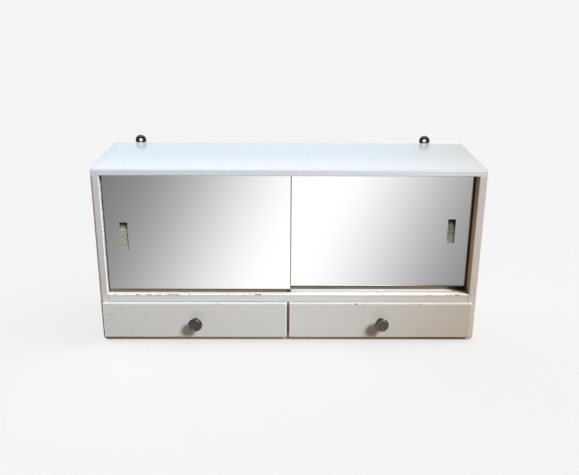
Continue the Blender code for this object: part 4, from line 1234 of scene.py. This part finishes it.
def hanger_finish(hand, middle, seed):
    """Browned steel, with a grey-green bloom on the upper rim."""
    material, nodes, shader, place = finish(f"browned_steel_{hand}")
    own = nodes.vector("SUBTRACT", place, middle)
    metal = nodes.group(metal_tree, Position=own, Clean=BROWN_CLEAN, Dull=BROWN_DULL, Patch_size=0.004,
                        Seed=seed)
    z = nodes.apart(own)[2]
    bloom = nodes.smooth(nodes.plus(z, nodes.times(nodes.noise(own, 420.0, 3.0), 0.006)),
                         0.0075, 0.0112)
    feed(nodes, shader, height=metal["Height"], height_scale=0.00006,
         Base_Color=nodes.blend(nodes.times(bloom, 0.7), metal["Colour"], BLOOM),
         Metallic=nodes.span(bloom, 0.0, 1.0, 0.75, 0.15),
         Roughness=nodes.plus(metal["Roughness"], nodes.times(bloom, 0.25)))
    return material


HEAD_RADIUS = 0.009
HOOK_HOLE, SCREW_HOLE = 0.0028, 0.0029      # radii
FOOT_Z, FOOT_RADIUS, FOOT_END = 0.2805, 0.0044, 0.0106
for seed, hand in enumerate(("left", "right"), 60):
    node = f"hanger_plate_{hand}"
    low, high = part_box(node)
    middle = (low + high) / 2
    head = (middle.x, high.z - HEAD_RADIUS, HEAD_RADIUS)
    screws = [middle_and_half(f"hanger_screw_{hand}_{number}")[0].x for number in (1, 2)]
    outlines = hanger_outlines(head, screws)
    mesh = stamped(f"{hand}_hanger", outlines, middle.y, high.y - low.y)
    plate = bpy.data.objects.new(f"{hand}_hanger", mesh)
    bpy.context.scene.collection.objects.link(plate)
    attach(plate, "case")
    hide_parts(node)
    dress(plate, hanger_finish(hand, (head[0], middle.y, head[1]), seed))

# %% [markdown]
# A screw is its head and its shank.  The shank is spun.  The head has a slot, so it is laid out in
# chords: columns of points across the disc, with two columns at each wall of the slot so that the walls
# stand straight.  The upper sheet drops by the slot's depth between those walls, and the lower sheet is a
# cone or a flat.

# %% Screws
SLOT_SHARE = 0.13           # half the slot's width, as a share of the head's radius
SLOT_CHORDS, SIDE_CHORDS, CHORD_POINTS = 3, 12, 21
SLOT_FLOOR = 0.00008        # least metal under the slot
# seat: how far the top of the head's edge lies inside its box; neck: where the shank begins; point: its taper
HANGER_SCREW = {"head": {"crown": 0.0001, "depth": 0.0007, "sink": 0.0013, "rim": 0.0001},
                "seat": 0.00012, "shank": 0.0014, "neck": 0.0013, "point": 0.003}
KNOB_SCREW = {"head": {"crown": 0.0010, "depth": 0.0011, "sink": 0.0, "rim": 0.0014},
              "seat": 0.0010, "shank": 0.0020, "neck": 0.0026, "point": 0.0}


def slotted_head(centre, radius, turn, crown, depth, sink, rim):
    """A head that faces +Y.  Height over the disc: crown * (1 - (r / radius)^2), less depth inside the slot.
    The underside is sink * (r / radius - 1) - rim."""
    half_slot = radius * SLOT_SHARE
    near = np.linspace(-half_slot, half_slot, SLOT_CHORDS)
    far = np.linspace(half_slot, radius * 0.999, SIDE_CHORDS)
    u = np.concatenate([-far[::-1], near, far])
    in_slot = np.concatenate([np.zeros(SIDE_CHORDS), np.ones(SLOT_CHORDS), np.zeros(SIDE_CHORDS)])
    share = np.linspace(-1, 1, CHORD_POINTS)
    grid_u = np.broadcast_to(u[:, None], (len(u), CHORD_POINTS))
    grid_v = np.sqrt(radius ** 2 - u ** 2)[:, None] * share[None, :]
    off = np.sqrt(grid_u ** 2 + grid_v ** 2) / radius
    under = sink * (off - 1) - rim
    over = np.maximum(crown * (1 - off ** 2) - depth * in_slot[:, None], under + SLOT_FLOOR)
    x = centre[0] + grid_u * math.cos(turn) - grid_v * math.sin(turn)
    z = centre[2] + grid_u * math.sin(turn) + grid_v * math.cos(turn)
    return slab(*(np.stack([x, centre[1] + level, z], -1) for level in (over, under)))


def shank(centre, radius, start, end, point=0.0):
    """A plain round shank from y = start down to y = end, its last stretch tapered to a point."""
    profile = [(0, -start), (radius, -start), (radius, -(end + point)), (radius * 0.15, -end), (0, -end)]
    return spun(profile, (centre[0], 0.0, centre[2]), 24)


def steel_finish(name, clean, dull, seed):
    """Plain steel, a little tarnished."""
    material, nodes, shader, place = finish(name)
    metal = nodes.group(metal_tree, Position=place, Clean=clean, Dull=dull, Patch_size=0.003, Seed=seed)
    feed(nodes, shader, height=metal["Height"], height_scale=0.00005, Base_Color=metal["Colour"],
         Metallic=1.0, Roughness=metal["Roughness"])
    return material


def slotted_screw(name, node, body, slot, screw, turn, metal):
    """A slotted screw in the place of the frame's plain one, its slot turned by so many radians."""
    low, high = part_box(node)
    middle = (low + high) / 2
    top = (middle.x, high.y - screw["seat"], middle.z)
    head = slotted_head(top, (high.x - low.x) / 2, turn, **screw["head"])
    stem = shank(top, screw["shank"], high.y - screw["neck"], low.y, screw["point"])
    dress(make_piece(name, *together(head, stem), body, slot, [node]), metal)


browned = steel_finish("browned_screw_steel", light_colour(0.16, 0.10, 0.07),
                       light_colour(0.05, 0.03, 0.022), 70)
bright = steel_finish("bright_screw_steel", light_colour(0.55, 0.54, 0.50),
                      light_colour(0.26, 0.23, 0.19), 71)
for turn, (hand, number) in enumerate((hand, number) for hand in ("left", "right") for number in (1, 2)):
    slotted_screw(f"{hand}_hanger_screw_{number}", f"hanger_screw_{hand}_{number}", "case", "hanger_metal",
                  HANGER_SCREW, 0.5 + turn * 1.1, browned)
for turn, hand in enumerate(("left", "right")):
    slotted_screw(f"{hand}_knob_screw", f"{hand}_drawer_knob_screw", f"{hand}_drawer", "screw_steel",
                  KNOB_SCREW, 0.4 + turn, bright)
pins = [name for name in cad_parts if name.startswith("panel_pin")]
for name in pins:
    dress(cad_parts[name], bright)
print("pins:", len(pins))

# %% [markdown]
# ## Paint over the joints
# The cabinet was painted after it was put together, so enamel bridges the hairline joints between its
# boards and fills the small hollows where a rounded edge meets a square end.  Each bridge is a thin
# prism: a flat section carried along the joint, lying just under the faces beside it.  It takes its
# board's own enamel.

# %% Paint in the joints
UNDER = 0.00003         # how far the paint in a joint lies below the faces beside it
FACE_ARRIS = 0.0012     # rounding of the boards' front edges
TOP_ROUND = 0.005       # and of the top's front edge
case_low, case_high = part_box("case_left_side")[0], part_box("case_right_side")[1]
board_low, board_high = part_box("case_top")
shelf_low, shelf_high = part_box("door_shelf")
front = case_low.y


def painted_joint(name, solid, board):
    """A bridge of paint that takes its board's enamel."""
    points, faces = solid
    piece = make_piece(name, points, faces, "case", "case_paint", sharp=40.0)
    dress(piece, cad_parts[board].data.materials[0])


for hand, sign in (("left", -1), ("right", 1)):
    joint = [sign * (board_high.x + UNDER), sign * (SIDE_INNER - UNDER)]
    top = case_high.z - UNDER
    across_top = [(board_high.y, board_low.z), (board_high.y, top)]
    across_top += arc((front + TOP_ROUND, top - TOP_ROUND + UNDER), TOP_ROUND - UNDER, 90, 180, 10).tolist()
    across_top += [(front + UNDER, board_low.z)]
    painted_joint(f"{hand}_top_joint", prism(across_top, *joint, lambda y, z, x: (x, y, z)), "case_top")
    hollow = [(board_high.x + UNDER, front + UNDER), (SIDE_INNER + FACE_ARRIS, front + UNDER)]
    hollow += arc((SIDE_INNER + FACE_ARRIS, front + FACE_ARRIS), FACE_ARRIS + UNDER, 270, 180, 8).tolist()
    hollow += [(board_high.x + UNDER, front + FACE_ARRIS)]
    for spot, board, start, end in (
            ("top", "case_top", board_low.z + FACE_ARRIS, case_high.z - TOP_ROUND),
            ("shelf", "door_shelf", shelf_low.z + FACE_ARRIS, shelf_high.z - FACE_ARRIS)):
        painted_joint(f"{hand}_{spot}_corner",
                      prism(hollow, start, end, lambda x, y, z: (sign * x, y, z)), board)
lower = [(front + UNDER, shelf_low.z + UNDER), (front + UNDER, shelf_low.z + FACE_ARRIS)]
lower += arc((front + FACE_ARRIS, shelf_low.z + FACE_ARRIS), FACE_ARRIS + UNDER, 180, 270, 8).tolist()
painted_joint("shelf_lower_bead",
              prism(lower, shelf_low.x, shelf_high.x, lambda y, z, x: (x, y, z)), "door_shelf")
rear = [(board_low.x, board_low.z), (board_high.x, board_low.z), (board_high.x, case_high.z - UNDER),
        (board_low.x, case_high.z - UNDER)]
painted_joint("back_joint", prism(rear, board_high.y + UNDER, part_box("back_panel")[0].y - UNDER,
                                  lambda x, z, y: (x, y, z)), "case_top")
